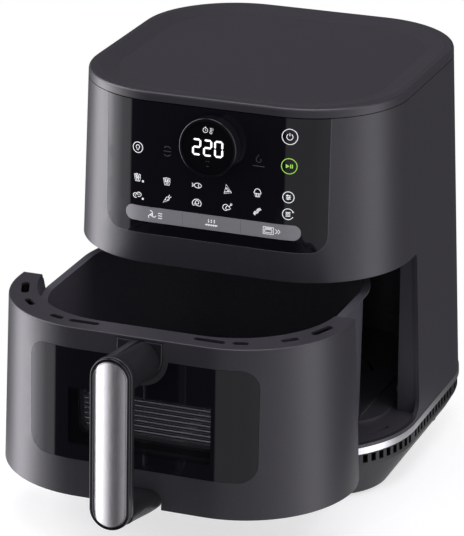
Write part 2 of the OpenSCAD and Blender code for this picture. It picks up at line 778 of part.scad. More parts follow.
module rear_grille() {
  z = hood_z + 68;
  color(charcoal) difference() {
    intersection() {
      body_wall(z - 50, z + 50, 0, wall);
      translate([0, 0, z]) rotate([-90, 0, 0]) linear_extrude(far) round_rect(110 - 2 * fit, 78 - 2 * fit, 8);
    }
    for (i = [-4:4]) translate([-46, 100, z + i * 8 - 1.6]) cube([92, 60, 3.2]);
  }
}

module cord_gland() {
  z = mouth_z + 20;
  y = half_at(z);
  color(black) translate([62, 0, z]) rotate([-90, 0, 0]) difference() {
    union() {
      translate([0, 0, y - 12]) cylinder(h = 14, r = 7, $fn = 48);
      translate([0, 0, y + 0.6]) cylinder(h = 3, r = 10, $fn = 48);
    }
    translate([0, 0, y - 14]) cylinder(h = 20, r = 3.6, $fn = 48);
  }
}

module terminal_block() {
  color(ceramic) translate([8, cavity_back + liner_wall, mouth_z + 30]) cube([24, 9, 14]);
}

module drawer_sensor() {
  color(black) translate([wing_screw_x - 2, mouth_y + 2.5, flange_z - 28.6]) cube([6, 6, 20]);
}

module drawer_shell() {
  color(charcoal) in_drawer() difference() {
    body_wall(drawer_z, rim_z, 0, wall);
    translate([-far / 2, wing_y, 0]) cube([far, far, far]);
    rotate([90, 0, 90]) linear_extrude(far, center = true) difference() {
      translate([mouth_y - mouth_radius, mouth_z - 1]) square([mouth_radius + 1, mouth_radius + 1]);
      translate([mouth_y - mouth_radius, mouth_z + mouth_radius]) circle(mouth_radius - drawer_gap_low, $fn = 64);
    }
    difference() {
      through_front(window_z + window_high / 2) round_rect(window_width, window_high, window_radius);
      through_front(bracket_z) bracket_outline(bracket_radius + bracket_border);
    }
    through_front(bracket_z) bracket_outline(bracket_radius);
    through_front(drawer_z) foot_bracket_outline(0);
  }
}

module drawer_rim() {
  ox = rim_open_half - rim_open_radius;
  oy = rim_open_front - rim_open_radius;
  color(charcoal) in_drawer() difference() {
    union() {
      difference() {
        union() {
          sweep(corner_centre, corner_centre) difference() {
            translate([0, rim_z]) square([corner_at(drawer_top), rim_wall]);
            translate([corner_at(drawer_top) - rim_edge, drawer_top - rim_edge]) difference() {
              square(rim_edge + 1);
              circle(rim_edge, $fn = 32);
            }
          }
          sweep(ox, oy) polygon([[rim_open_radius - 3, flange_z + 0.1], [rim_open_radius - 1.4, flange_z + 0.1],
                                 [rim_open_radius + 1.8, rim_z + 0.5], [rim_open_radius - 1, rim_z + 0.5]]);
          for (s = [-1, 1]) {
            translate([s * screw_x, -screw_x, drawer_z + 8]) cylinder(h = rim_z - drawer_z - 8, r = 4, $fn = 32);
            translate([s * wing_screw_x, wing_screw_y, drawer_z + 8]) cylinder(h = rim_z - drawer_z - 8, r = 4, $fn = 32);
          }
        }
        sweep(ox, oy) polygon([[0, rim_z - 1], [rim_open_radius - 0.8, rim_z - 1],
                               [rim_open_radius, drawer_top + 1], [0, drawer_top + 1]]);
        translate([-ox, -oy, rim_z - 1]) cube([2 * ox, 2 * oy, rim_wall + 2]);
      }
    }
    translate([-far / 2, wing_y, 0]) cube([far, far, far]);
    for (s = [-1, 1]) {
      translate([s * screw_x, -screw_x, drawer_z + 7]) cylinder(h = 14, r = 1.52, $fn = 32);
      translate([s * wing_screw_x, wing_screw_y, drawer_z + 7]) cylinder(h = 14, r = 1.52, $fn = 32);
      translate([s * 52.5, -128.4, rim_z - 1]) linear_extrude(6) stadium(26, rim_slot);
      translate([s * 77, -125.2, rim_z - 1]) rotate([0, 0, s * 16]) linear_extrude(6) stadium(13, rim_slot);
      translate([s * 109.5, -104.5, rim_z - 1]) rotate([0, 0, s * 45]) linear_extrude(6) stadium(15, rim_slot);
      translate([s * 126, -77, rim_z - 1]) rotate([0, 0, s * 68]) linear_extrude(6) stadium(23, rim_slot + 1);
    }
  }
}

module drawer_frame() {
  color(charcoal) in_drawer() difference() {
    union() {
      translate([0, 0, drawer_z])
        slab(corner_centre, corner_centre, corner_at(drawer_z + 3) - liner_edge, 2.4);
      intersection() {
        body_core(drawer_z, flange_z - 1.3, liner_edge);
        union() for (s = [0, 180]) rotate([0, 0, s]) 
          translate([pan_half - 3.2, s == 0 ? wing_y - 2.2 : -wing_y, drawer_z]) cube([40, 2.2, far]);
      }
      for (s = [-1, 1]) {
        translate([s * screw_x, -screw_x, drawer_z]) cylinder(h = 7.8, r = 5, $fn = 32);
        translate([s * wing_screw_x, wing_screw_y, drawer_z]) cylinder(h = 7.8, r = 5, $fn = 32);
      }
    }
    translate([-far / 2, wing_y, 0]) cube([far, far, far]);
    translate([0, -pan_forward, drawer_z - 1]) slab(pan_cx, pan_cy, pan_radius + 0.6, 6);
    for (s = [-1, 1]) {
      translate([s * screw_x, -screw_x, drawer_z - 1]) cylinder(h = 5, r = 3.4, $fn = 32);
      translate([s * screw_x, -screw_x, drawer_z - 1]) cylinder(h = 12, r = 1.8, $fn = 32);
      translate([s * wing_screw_x, wing_screw_y, drawer_z - 1]) cylinder(h = 5, r = 3.4, $fn = 32);
      translate([s * wing_screw_x, wing_screw_y, drawer_z - 1]) cylinder(h = 12, r = 1.8, $fn = 32);
    }
    on_face(drawer_z) translate([-bracket_radius - 1, -5, -16]) cube([2 * bracket_radius + 2, 40, 30]);
  }
}

module drawer_screws() {
  color(steel) in_drawer() for (s = [-1, 1], p = [[screw_x, -screw_x], [wing_screw_x, wing_screw_y]])
    translate([s * p[0], p[1], drawer_z]) {
      translate([0, 0, 1.9]) cylinder(h = 2, r = 3.1, $fn = 32);
      translate([0, 0, 3.9]) cylinder(h = 15, r = 1.5, $fn = 32);
    }
}

module outer_window() {
  color(smoke) in_drawer() difference() {
    intersection() {
      body_wall(window_z - 1, window_z + window_high + 1, 0, wall - 0.5);
      through_front(window_z + window_high / 2)
        round_rect(window_width - 2 * fit, window_high - 2 * fit, window_radius - fit);
    }
    through_front(bracket_z) bracket_outline(bracket_radius + bracket_border + fit);
  }
}

// A stretch of the pan's leaning wall, between two distances outside its surface
module pan_band(z0, z1, from, to) {
  translate([0, -pan_forward, 0]) sweep(pan_cx, pan_cy)
    polygon([[pan_corner_at(z0) + from, z0], [pan_corner_at(z0) + to, z0],
             [pan_corner_at(z1) + to, z1], [pan_corner_at(z1) + from, z1]]);
}

module pan() {
  mid = pane_z + pane_high / 2;
  low = pan_corner_at(pan_z);
  color(dark_steel) in_drawer() difference() {
    translate([0, -pan_forward, 0]) {
      sweep(pan_cx, pan_cy) {
        translate([pan_corner_at(flange_z) - pan_wall, flange_z - pan_wall])
          square([flange_width + pan_wall, pan_wall]);
        polygon([[low - pan_wall, pan_z + pan_fillet], [low, pan_z + pan_fillet],
                 [pan_corner_at(flange_z), flange_z], [pan_corner_at(flange_z) - pan_wall, flange_z]]);
        difference() {
          intersection() {
            translate([low - pan_fillet, pan_z + pan_fillet]) circle(pan_fillet, $fn = 48);
            translate([low - pan_fillet, pan_z]) square([pan_fillet, pan_fillet]);
          }
          translate([low - pan_fillet, pan_z + pan_fillet]) circle(pan_fillet - pan_wall, $fn = 48);
        }
        translate([0, pan_z]) square([low - pan_fillet, pan_wall]);
      }
      translate([-pan_cx, -pan_cy, pan_z]) cube([2 * pan_cx, 2 * pan_cy, pan_wall]);
    }
    through_front(mid) round_rect(pane_width, pane_high, pane_radius);
  }
}

module inner_window() {
  mid = pane_z + pane_high / 2;
  color(clear) in_drawer() intersection() {
    pan_band(pane_z - 5, pane_z + pane_high + 5, pane_stand, pane_stand + pane_wall);
    through_front(mid) round_rect(pane_width + 6, pane_high + 6, pane_radius + 3);
  }
}

module window_frame() {
  mid = pane_z + pane_high / 2;
  color(black) in_drawer() difference() {
    intersection() {
      pan_band(pane_z - 7, pane_z + pane_high + 7, 0.1, pane_stand + pane_wall + 1);
      through_front(mid) round_rect(pane_width + 12, pane_high + 12, pane_radius + 6);
    }
    through_front(mid) round_rect(pane_width, pane_high, pane_radius);
    intersection() {
      pan_band(pane_z - 7, pane_z + pane_high + 7, pane_stand - 0.1, pane_stand + pane_wall + 0.1);
      through_front(mid) round_rect(pane_width + 6 + fit, pane_high + 6 + fit, pane_radius + 3);
    }
  }
}

// Height up the face, from the drawer's lower edge
function up(z) = z / cos(tilt);

// Outline of the grip, seen from the front, drawn in by a distance
module grip_outline(inset) {
  translate([0, up(grip_rise + grip_high / 2)]) rotate([0, 0, 90])
    stadium(grip_high - 2 * inset, grip_width - 2 * inset);
}

module handle_grip() {
  back = handle_reach - grip_depth;
  arm = handle_reach - frame_wall;
  low_c = up(grip_rise + grip_end);
  top_c = up(grip_rise + grip_high - grip_end);
  color(charcoal) in_drawer() on_face(drawer_z) difference() {
    union() {
      intersection() {
        linear_extrude(arm) grip_outline(0);
        translate([0, 0, 0]) rotate([-90, 0, 0]) linear_extrude(far) mirror([0, 1]) difference() {
          translate([-grip_end, back]) square([grip_width, grip_depth]);
          for (s = [-1, 1]) translate([s * grip_end, back]) difference() {
            square(16, center = true);
            translate([-s * 8, 8]) circle(8, $fn = 48);
          }
        }
      }
      hull() {
        translate([0, up(rim_z - drawer_z) - fit - neck_radius]) linear_extrude(0.5) circle(neck_radius, $fn = 48);
        translate([0, top_c, back + 2]) linear_extrude(1) circle(grip_end - 1, $fn = 48);
      }
      hull() {
        linear_extrude(0.5) intersection() {
          foot_bracket_outline(-fit);
          translate([-far / 2, 0.2]) square([far, far]);
        }
        translate([0, low_c, back + 2]) linear_extrude(1) intersection() {
          circle(grip_end - 1, $fn = 48);
          translate([-grip_end, -far]) square([grip_width, far + 1]);
        }
      }
      translate([0, 0, -wall]) linear_extrude(wall + 0.2) intersection() {
        translate([0, up(bracket_up)]) bracket_outline(bracket_radius - fit);
        translate([-far / 2, 0]) square([far, up(rim_z - drawer_z) - 0.5]);
      }
      translate([0, 0, -wall]) linear_extrude(wall + 0.2) intersection() {
        foot_bracket_outline(-fit);
        translate([-far / 2, 0.2]) square([far, far]);
      }
    }
    for (x = [-9, 9]) translate([x, up(bracket_up), -10]) cylinder(h = 30, r = 1.62, $fn = 32);
    for (x = [-9, 9]) translate([x, up(foot_bracket_height / 2), -10]) cylinder(h = 30, r = 1.62, $fn = 32);
  }
}

module handle_plate() {
  color(steel) in_drawer() on_face(drawer_z) difference() {
    translate([0, 0, -wall - 1.7]) linear_extrude(1.5) {
      translate([0, up(rim_z - drawer_z) - 15.5]) round_rect(2 * bracket_radius - 2, 28, 5);
      translate([0, up(foot_bracket_height / 2) + 1.5]) round_rect(2 * bracket_radius - 2, 11, 3);
    }
    for (x = [-9, 9]) translate([x, up(bracket_up), -10]) cylinder(h = 30, r = 1.8, $fn = 32);
    for (x = [-9, 9]) translate([x, up(foot_bracket_height / 2), -10]) cylinder(h = 30, r = 1.8, $fn = 32);
  }
}

module handle_screws() {
  color(silver) in_drawer() on_face(drawer_z)
    for (x = [-9, 9], y = [up(bracket_up), up(foot_bracket_height / 2)]) translate([x, y, 0]) {
      translate([0, 0, -wall - 3.7]) cylinder(h = 1.9, r = 3, $fn = 32);
      translate([0, 0, -wall - 1.8]) cylinder(h = 16, r = 1.6, $fn = 32);
    }
}

module handle_bezel() {
  color(black) in_drawer() on_face(drawer_z) translate([0, 0, handle_reach - frame_wall + 0.05])
    linear_extrude(frame_wall - 0.05) difference() {
      grip_outline(0.4);
      grip_outline(frame_width);
    }
}

module handle_insert() {
  crown = 60;
  color(silver) in_drawer() on_face(drawer_z) intersection() {
    translate([0, 0, handle_reach - frame_wall + 0.05]) linear_extrude(frame_wall + 2) grip_outline(frame_width + 0.15);
    translate([0, -10, handle_reach - crown + 0.6]) rotate([-90, 0, 0]) cylinder(h = far, r = crown, $fn = 180);
  }
}

module drawer_magnet() {
  color(steel) in_drawer() translate([wing_screw_x - 2, wing_y - 5.4, flange_z - 24.6]) cube([6, 3, 12]);
}

module crisper_plate() {
  r = pan_corner_at(plate_z) - pan_wall - plate_gap;
  count = floor((pan_cy + r - 14) / rib_pitch);
  color(dark_steel) in_drawer() translate([0, -pan_forward, 0]) difference() {
    union() {
      translate([0, 0, plate_z]) slab(pan_cx, pan_cy, r, plate_wall);
      for (i = [-count:count]) let (y = i * rib_pitch, reach = y < 0 ? -y : y)
        translate([-(pan_cx + sqrt(r * r - pow(max(0, reach - pan_cy), 2)) - 8), y - 1, plate_z + plate_wall - 0.1])
          cube([2 * (pan_cx + sqrt(r * r - pow(max(0, reach - pan_cy), 2)) - 8), 2, rib_height + 0.1]);
      for (a = [45:90:315]) rotate([0, 0, a]) translate([88, 0, pan_z + pan_wall + 0.05])
        cylinder(h = plate_rise, r = 4, $fn = 24);
    }
    for (i = [-count:count - 1]) let (y = (i + 0.5) * rib_pitch, reach = y < 0 ? -y : y)
      for (s = [-1, 1]) let (w = pan_cx + sqrt(r * r - pow(max(0, reach - pan_cy), 2)) - 18)
        translate([s * (w + 5) / 2 - (w - 5) / 2, y - 1.8, plate_z - 1]) cube([w - 5, 3.6, plate_wall + 1.4]);
  }
}

module plate_pads() {
  r = pan_corner_at(plate_z) - pan_wall;
  color(rubber_black) in_drawer() translate([0, -pan_forward, plate_z + plate_wall + 0.05]) {
    for (s = [-1, 1]) translate([s * (pan_cx + r - 4) - 3.5, -10, 0]) cube([7, 20, 2.5]);
  }
}

body_shell();
top_cap();
trim_ring();
vent_band();
base_pan();
feet();
base_screws();
cavity_liner();
drawer_guides();
control_panel();
mode_strip();
display_lens();
dial_ring();
dial_hub();
rotary_encoder();
control_board();
board_parts();
power_board();
power_parts();
heater_housing();
heating_element();
element_collars();
element_guard();
convection_fan();
fan_nut();
motor_shaft();
heat_shield();
motor_bracket();
motor();
cooling_fan();
temperature_probe();
thermal_cutout();
lamp();
lamp_cover();
rear_grille();
cord_gland();
terminal_block();
drawer_sensor();
drawer_shell();
drawer_rim();
drawer_frame();
drawer_screws();
outer_window();
pan();
inner_window();
window_frame();
handle_grip();
handle_plate();
handle_screws();
handle_bezel();
handle_insert();
drawer_magnet();
crisper_plate();
plate_pads();
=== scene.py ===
"""Looks for the air fryer: its finishes, the panel's marks, the handle and the studio.

Run as a script in Blender 4.5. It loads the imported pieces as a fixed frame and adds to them.
Lengths are in metres in the frame's own axes: +Z is up and the drawer faces -Y.
"""

import json
import math

import bpy
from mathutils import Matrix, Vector


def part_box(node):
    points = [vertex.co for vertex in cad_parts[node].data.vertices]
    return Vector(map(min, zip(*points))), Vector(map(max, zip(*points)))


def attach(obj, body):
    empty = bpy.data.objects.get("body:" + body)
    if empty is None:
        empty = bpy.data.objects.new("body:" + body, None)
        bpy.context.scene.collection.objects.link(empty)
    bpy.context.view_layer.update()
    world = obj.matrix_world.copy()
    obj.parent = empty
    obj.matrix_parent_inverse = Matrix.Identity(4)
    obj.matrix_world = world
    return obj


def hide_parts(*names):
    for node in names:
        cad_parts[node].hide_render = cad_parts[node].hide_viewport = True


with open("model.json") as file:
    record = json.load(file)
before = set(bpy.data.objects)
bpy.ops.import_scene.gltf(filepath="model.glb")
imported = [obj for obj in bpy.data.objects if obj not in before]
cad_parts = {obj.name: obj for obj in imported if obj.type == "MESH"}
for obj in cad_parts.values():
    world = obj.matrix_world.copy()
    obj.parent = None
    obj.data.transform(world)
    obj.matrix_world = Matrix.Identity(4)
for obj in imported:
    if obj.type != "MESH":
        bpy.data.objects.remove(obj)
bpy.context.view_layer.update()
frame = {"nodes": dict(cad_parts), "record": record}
NODES = frame["nodes"]

bl_info = {
    "name": "Air fryer looks",
    "version": (1, 0, 0),
    "blender": (4, 5, 0),
    "location": "View3D > Sidebar > Fryer",
    "description": "Finishes, panel marks, handle and studio for the air fryer",
    "category": "Object",
}

MM = 0.001
# The body's wall: half its width at the floor, its lean, and the centre of each corner's curve
WALL_HALF = 0.150
WALL_LEAN = 0.0406
CORNER_CENTRE = 0.054
FACE_LEAN = math.atan(WALL_LEAN)
# Heights of the dial's middle and of the handle bracket's round end
DIAL_Z = 0.2973
BRACKET_Z = 0.1740
# The grip: its middle up the drawer's face, half its height and width, its back and its seat
GRIP_UP = 0.0725
GRIP_HIGH = 0.0705
GRIP_HALF = 0.017
GRIP_BACK = 0.044
GRIP_SEAT = 0.055
# Points round a ring of the handle, and round one of the pieces in its face
RING_COUNT = 64
FINE_COUNT = 96
# The floor: a disc that fades out between two distances from its middle
FLOOR_MIDDLE = (0, -0.1, 0)
FLOOR_RADIUS = 0.62
FLOOR_FADE = (0.12, 0.31)
# The view
VIEW_PLACE = (0.8938, -2.4224, 1.1244)
VIEW_TURN = (69.183, -0.195, 21.075)
VIEW_LENS = 217.4
# The studio's light by azimuth in degrees from the front, and its light from straight above
RING_LIGHT = (
    (-180, 0.08), (-140, 0.08), (-120, 0.12), (-111, 0.7), (-103, 4.2), (-94, 5.6), (-82, 5.2), (-71, 2.6),
    (-58, 1.2), (-46.6, 1.1), (-46, 0.03), (-9, 0.03), (-8.4, 0.5), (22, 0.5), (50, 0.7), (72, 1.15),
    (86, 2.1), (97, 2.1), (108, 0.8), (120, 0.2), (145, 0.12), (180, 0.08))
RING_PEAK = 6.0
TOP_LIGHT = 3.6


def corner_of(node, high=False):
    """Lowest or highest corner of a frame piece."""
    low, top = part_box(node)
    return top if high else low


DRAWER_LOW = corner_of("drawer_shell")
DRAWER_OUT = -DRAWER_LOW.y - (WALL_HALF - WALL_LEAN * DRAWER_LOW.z)
STRIP_LOW, STRIP_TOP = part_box("mode_strip")
STRIP_Z = (STRIP_LOW.z + STRIP_TOP.z) / 2


# ---------------------------------------------------------------- settings


class FryerColours(bpy.types.PropertyGroup):
    shell: bpy.props.FloatVectorProperty(
        name="Shell", description="Colour of the moulded housing and drawer", subtype="COLOR",
        size=3, min=0, max=1, default=(0.0225, 0.0215, 0.0260))
    marks: bpy.props.FloatVectorProperty(
        name="Marks", description="Colour of the panel's lit marks", subtype="COLOR",
        size=3, min=0, max=1, default=(0.86, 0.88, 0.9))
    ready: bpy.props.FloatVectorProperty(
        name="Start key", description="Colour of the lit start and pause key", subtype="COLOR",
        size=3, min=0, max=1, default=(0.36, 0.72, 0.10))
    coating: bpy.props.FloatVectorProperty(
        name="Coating", description="Colour of the pan's non-stick coating", subtype="COLOR",
        size=3, min=0, max=1, default=(0.048, 0.046, 0.056))


class FryerSizes(bpy.types.PropertyGroup):
    line: bpy.props.FloatProperty(
        name="Mark line", description="Width of the lines that the panel's marks are drawn with",
        unit="LENGTH", default=0.00062, min=0.0003, max=0.0012)
    digit: bpy.props.FloatProperty(
        name="Digit height", description="Height of the display's digits", unit="LENGTH",
        default=0.0140, min=0.010, max=0.018)
    grain: bpy.props.FloatProperty(
        name="Grain", description="Grains of the moulded finish in a metre", default=2100,
        min=500, max=6000)


class FryerStudio(bpy.types.PropertyGroup):
    brightness: bpy.props.FloatProperty(
        name="Brightness", description="Strength of the studio's light", default=1.0, min=0.1, max=4)
    floor: bpy.props.FloatProperty(
        name="Floor", description="How pale the floor is", default=0.55, min=0, max=1)
    glow: bpy.props.FloatProperty(
        name="Floor glow", description="How much the floor is lifted towards white", default=0.62,
        min=0, max=1)


# ---------------------------------------------------------------- modelling helpers


def deselect():
    """Object mode with nothing selected."""
    if bpy.context.object and bpy.context.object.mode != "OBJECT":
        bpy.ops.object.mode_set(mode="OBJECT")
    bpy.ops.object.select_all(action="DESELECT")


def pick(obj):
    """Makes one object the only one selected, and active."""
    deselect()
    obj.select_set(True)
    bpy.context.view_layer.objects.active = obj
    return obj


def settle(obj):
    """Puts an object's place, turn and size into its mesh."""
    pick(obj)
    bpy.ops.object.transform_apply(location=True, rotation=True, scale=True)
    return obj


def smooth(obj, degrees):
    """Smooth shading, with a hard edge where two faces meet at more than an angle."""
    pick(obj)
    bpy.ops.object.shade_smooth_by_angle(angle=math.radians(degrees))


def outward(obj):
    """Merges doubles and turns every face outwards."""
    pick(obj)
    bpy.ops.object.mode_set(mode="EDIT")
    bpy.ops.mesh.select_all(action="SELECT")
    bpy.ops.mesh.remove_doubles(threshold=1e-6)
    bpy.ops.mesh.normals_make_consistent(inside=False)
    bpy.ops.object.mode_set(mode="OBJECT")
    return obj


def join(objs, name):
    """Joins objects into one mesh."""
    deselect()
    for obj in objs:
        obj.select_set(True)
    bpy.context.view_layer.objects.active = objs[0]
    bpy.ops.object.join()
    joined = bpy.context.object
    joined.name = joined.data.name = name
    return joined


def complete(obj, name, body, material, replaces=()):
    """Names a finished piece, gives it its finish and puts it on its body."""
    obj.name = obj.data.name = name
    obj.data.materials.clear()
    obj.data.materials.append(bpy.data.materials[material])
    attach(obj, body)
    if replaces:
        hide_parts(*replaces)
    return obj


def face_y(x, z, proud=0.0):
    """The front wall's surface, or one that much proud of it, at a place across it and a height."""
    r = WALL_HALF - WALL_LEAN * z - CORNER_CENTRE + proud
    past = abs(x) - CORNER_CENTRE
    reach = math.sqrt(r * r - past * past) if past > 0 else r
    return -(CORNER_CENTRE + reach)


def extrude_rings(obj, rings):
    """Extrudes a loop of edges through a list of rings, each a list of points."""
    pick(obj)
    for ring in rings:
        bpy.ops.object.mode_set(mode="EDIT")
        bpy.ops.mesh.extrude_region_move()
        bpy.ops.object.mode_set(mode="OBJECT")
        chosen = [v for v in obj.data.vertices if v.select]
        for v, p in zip(chosen, ring):
            v.co = p
    return obj


def tube_of_rings(name, rings, capped=True):
    """A skin through rings of points, drawn from one circle by extruding it, with flat ends if capped."""
    deselect()
    count = len(rings[0])
    bpy.ops.mesh.primitive_circle_add(vertices=count, radius=1, fill_type="NOTHING")
    obj = bpy.context.object
    for v, p in zip(obj.data.vertices, rings[0]):
        v.co = p
    bpy.ops.object.mode_set(mode="EDIT")
    bpy.ops.mesh.select_all(action="SELECT")
    bpy.ops.object.mode_set(mode="OBJECT")
    extrude_rings(obj, rings[1:])
    for first in (True, False) if capped else ():
        total = len(obj.data.vertices)
        for v in obj.data.vertices:
            v.select = v.index < count if first else v.index >= total - count
        bpy.ops.object.mode_set(mode="EDIT")
        bpy.ops.mesh.select_mode(type="VERT")
        bpy.ops.mesh.edge_face_add()
        bpy.ops.object.mode_set(mode="OBJECT")
    obj.name = name
    return outward(obj)


def stadium(half_wide, half_high, count=64):
    """Points round a bar with round ends, upright, as (across, up)."""
    points = []
    straight = half_high - half_wide
    for i in range(count):
        a = 2 * math.pi * i / count
        x, y = half_wide * math.cos(a), half_wide * math.sin(a)
        points.append((x, y + (straight if y >= 0 else -straight)))
    return points


def leaning(x, y0, z0, up, out):
    """A point across, up and out of a face that leans back from a foot at y0 and z0."""
    c, s = math.cos(FACE_LEAN), math.sin(FACE_LEAN)
    return Vector((x, y0 - out * c + up * s, z0 + up * c + out * s))


def on_drawer_face(x, up, out):
    """A point by its place across the drawer's face, up it, and out of it, from the drawer's foot."""
    return leaning(x, face_y(0, DRAWER_LOW.z) - DRAWER_OUT, DRAWER_LOW.z, up, out)


def farthest_out(node, y0, z0):
    """How far a frame piece stands out of a leaning face."""
    c, s = math.cos(FACE_LEAN), math.sin(FACE_LEAN)
    return max(-(v.co.y - y0) * c + (v.co.z - z0) * s for v in NODES[node].data.vertices)


# ---------------------------------------------------------------- flat marks


def circle(cx, cy, r, start=0, end=360, steps=28):
    """Points on an arc, in millimetres, angles in degrees from the right."""
    full = abs(end - start) >= 360
    n = steps if full else steps + 1
    span = (end - start) / steps
    angles = [math.radians(start + span * i) for i in range(n)]
    return [(cx + r * math.cos(a), cy + r * math.sin(a)) for a in angles]


def turned(points, angle, cx=0.0, cy=0.0):
    """Points turned by an angle in degrees and then moved."""
    c, s = math.cos(math.radians(angle)), math.sin(math.radians(angle))
    return [(cx + x * c - y * s, cy + x * s + y * c) for x, y in points]


def moved(lines, cx, cy):
    """Lines moved across and up."""
    return [([(x + cx, y + cy) for x, y in points], closed) for points, closed in lines]


def draw(name, lines, fills, line):
    """A flat mark from lines and filled shapes, in millimetres, as one mesh in the XZ plane."""
    parts = []
    for shapes, filled in ((lines, False), (fills, True)):
        if not shapes:
            continue
        curve = bpy.data.curves.new(name, "CURVE")
        curve.dimensions = "2D" if filled else "3D"
        if filled:
            curve.fill_mode = "BOTH"
            curve.extrude = 0.00004
        else:
            curve.bevel_depth = line / 2
            curve.bevel_resolution = 1
            curve.use_fill_caps = True
        for points, closed in shapes:
            spline = curve.splines.new("POLY")
            spline.points.add(len(points) - 1)
            for q, (x, y) in zip(spline.points, points):
                q.co = (x * MM, y * MM, 0, 1)
            spline.use_cyclic_u = closed or filled
        obj = bpy.data.objects.new(name, curve)
        bpy.context.scene.collection.objects.link(obj)
        pick(obj)
        bpy.ops.object.convert(target="MESH")
        obj = bpy.context.object
        for v in obj.data.vertices:
            lift = v.co.z if filled else v.co.z * 0.12
            v.co = (v.co.x, -lift, v.co.y)
        parts.append(obj)
    return join(parts, name) if len(parts) > 1 else parts[0]


def lay_on_wall(obj, x, z, proud=0.00003):
    """Bends a flat mark onto the front wall at a place."""
    for v in obj.data.vertices:
        px, pz = x + v.co.x, z + v.co.z
        v.co = (px, face_y(px, pz, proud) + v.co.y, pz)
    obj.data.update()
    return obj


# ---------------------------------------------------------------- finishes


def new_group(name, inputs, outputs):
    """A shader node group with named float or colour inputs and outputs."""
    group = bpy.data.node_groups.new(name, "ShaderNodeTree")
    for label, kind, value in inputs:
        socket = group.interface.new_socket(label, in_out="INPUT", socket_type=kind)
        if value is not None:
            socket.default_value = value
    for label, kind in outputs:
        group.interface.new_socket(label, in_out="OUTPUT", socket_type=kind)
    start, end = group.nodes.new("NodeGroupInput"), group.nodes.new("NodeGroupOutput")
    return group, start, end


def wire(tree, *pairs):
    """Links pairs of sockets."""
    for a, b in pairs:
        tree.links.new(a, b)


def math_node(tree, operation, a, b=None, clamp=False):
    """A math node from sockets or numbers."""
    node = tree.nodes.new("ShaderNodeMath")
    node.operation, node.use_clamp = operation, clamp
    for socket, value in zip(node.inputs, (a, b)):
        if value is None:
            continue
        if isinstance(value, (int, float)):
            socket.default_value = value
        else:
            tree.links.new(value, socket)
    return node.outputs[0]


def ramp(tree, source, stops):
    """A colour ramp read as a value."""
    node = tree.nodes.new("ShaderNodeValToRGB")
    while len(node.color_ramp.elements) < len(stops):
        node.color_ramp.elements.new(0.5)
    for element, (place, value) in zip(node.color_ramp.elements, stops):
        element.position = place
        colour = (value, value, value) if isinstance(value, (int, float)) else value
        element.color = (*colour, 1)
    tree.links.new(source, node.inputs[0])
    return node.outputs[0]


def noise(tree, vector, scale, detail=2.0, rough=0.5):
    """A noise texture's value. The scale is a socket or a number."""
    node = tree.nodes.new("ShaderNodeTexNoise")
    node.inputs["Detail"].default_value = detail
    node.inputs["Roughness"].default_value = rough
    if isinstance(scale, (int, float)):
        node.inputs["Scale"].default_value = scale
    else:
        tree.links.new(scale, node.inputs["Scale"])
    tree.links.new(vector, node.inputs["Vector"])
    return node.outputs["Fac"]


def grain_group():
    """Moulded grain with fine flakes: a mask for colour, one for roughness, and a height."""
    group, start, end = new_group(
        "Moulded grain",
        [("Vector", "NodeSocketVector", None), ("Scale", "NodeSocketFloat", 2100.0),
         ("Flakes", "NodeSocketFloat", 0.5)],
        [("Flake", "NodeSocketFloat"), ("Unevenness", "NodeSocketFloat"), ("Height", "NodeSocketFloat")])
    fine = noise(group, start.outputs["Vector"], start.outputs["Scale"], 1.0, 0.6)
    flakes = ramp(group, fine, [(0.0, 0.0), (0.5, 0.15), (0.68, 0.65), (0.8, 1.0)])
    wire(group, (math_node(group, "MULTIPLY", flakes, start.outputs["Flakes"]), end.inputs["Flake"]))
    wide = noise(group, start.outputs["Vector"], 14.0, 3.0)
    wire(group, (wide, end.inputs["Unevenness"]), (fine, end.inputs["Height"]))
    return group


def brushed_group():
    """Brushing along one axis: streaks for roughness and colour, and a height."""
    group, start, end = new_group(
        "Brushed",
        [("Vector", "NodeSocketVector", None), ("Scale", "NodeSocketFloat", 1.0)],
        [("Streak", "NodeSocketFloat"), ("Height", "NodeSocketFloat")])
    scaled = group.nodes.new("ShaderNodeVectorMath")
    scaled.operation = "SCALE"
    wire(group, (start.outputs["Vector"], scaled.inputs[0]), (start.outputs["Scale"], scaled.inputs["Scale"]))
    fine = noise(group, scaled.outputs[0], 1.0, 3.0, 0.7)
    streak = ramp(group, fine, [(0.25, 0.0), (0.75, 1.0)])
    wire(group, (streak, end.inputs["Streak"]), (fine, end.inputs["Height"]))
    return group


def new_material(name, colour, roughness, **values):
    """A material with one Principled shader. values are the shader's other constant sockets."""
    material = bpy.data.materials.new(name)
    material.use_nodes = True
    shader = material.node_tree.nodes["Principled BSDF"]
    shader.inputs["Base Color"].default_value = (*colour, 1)
    shader.inputs["Roughness"].default_value = roughness
    for label, value in values.items():
        shader.inputs[label.replace("_", " ")].default_value = value
    material.diffuse_color = (*colour, 1)
    return material, material.node_tree, shader


def object_place(tree, stretch=(1, 1, 1)):
    """Object coordinates, stretched along the axes."""
    coords = tree.nodes.new("ShaderNodeTexCoord")
    mapping = tree.nodes.new("ShaderNodeMapping")
    mapping.inputs["Scale"].default_value = stretch
    tree.links.new(coords.outputs["Object"], mapping.inputs["Vector"])
    return mapping.outputs["Vector"]


def blend_colour(tree, factor, low, high):
    """A colour that runs from low to high with a mask."""
    mix = tree.nodes.new("ShaderNodeMix")
    mix.data_type = "RGBA"
    mix.inputs["A"].default_value = (*low, 1)
    mix.inputs["B"].default_value = (*high, 1)
    tree.links.new(factor, mix.inputs["Factor"])
    return mix.outputs["Result"]


def between(tree, factor, low, high):
    """A value that runs from low to high with a mask."""
    node = tree.nodes.new("ShaderNodeMapRange")
    node.inputs["To Min"].default_value = low
    node.inputs["To Max"].default_value = high
    tree.links.new(factor, node.inputs["Value"])
    return node.outputs["Result"]


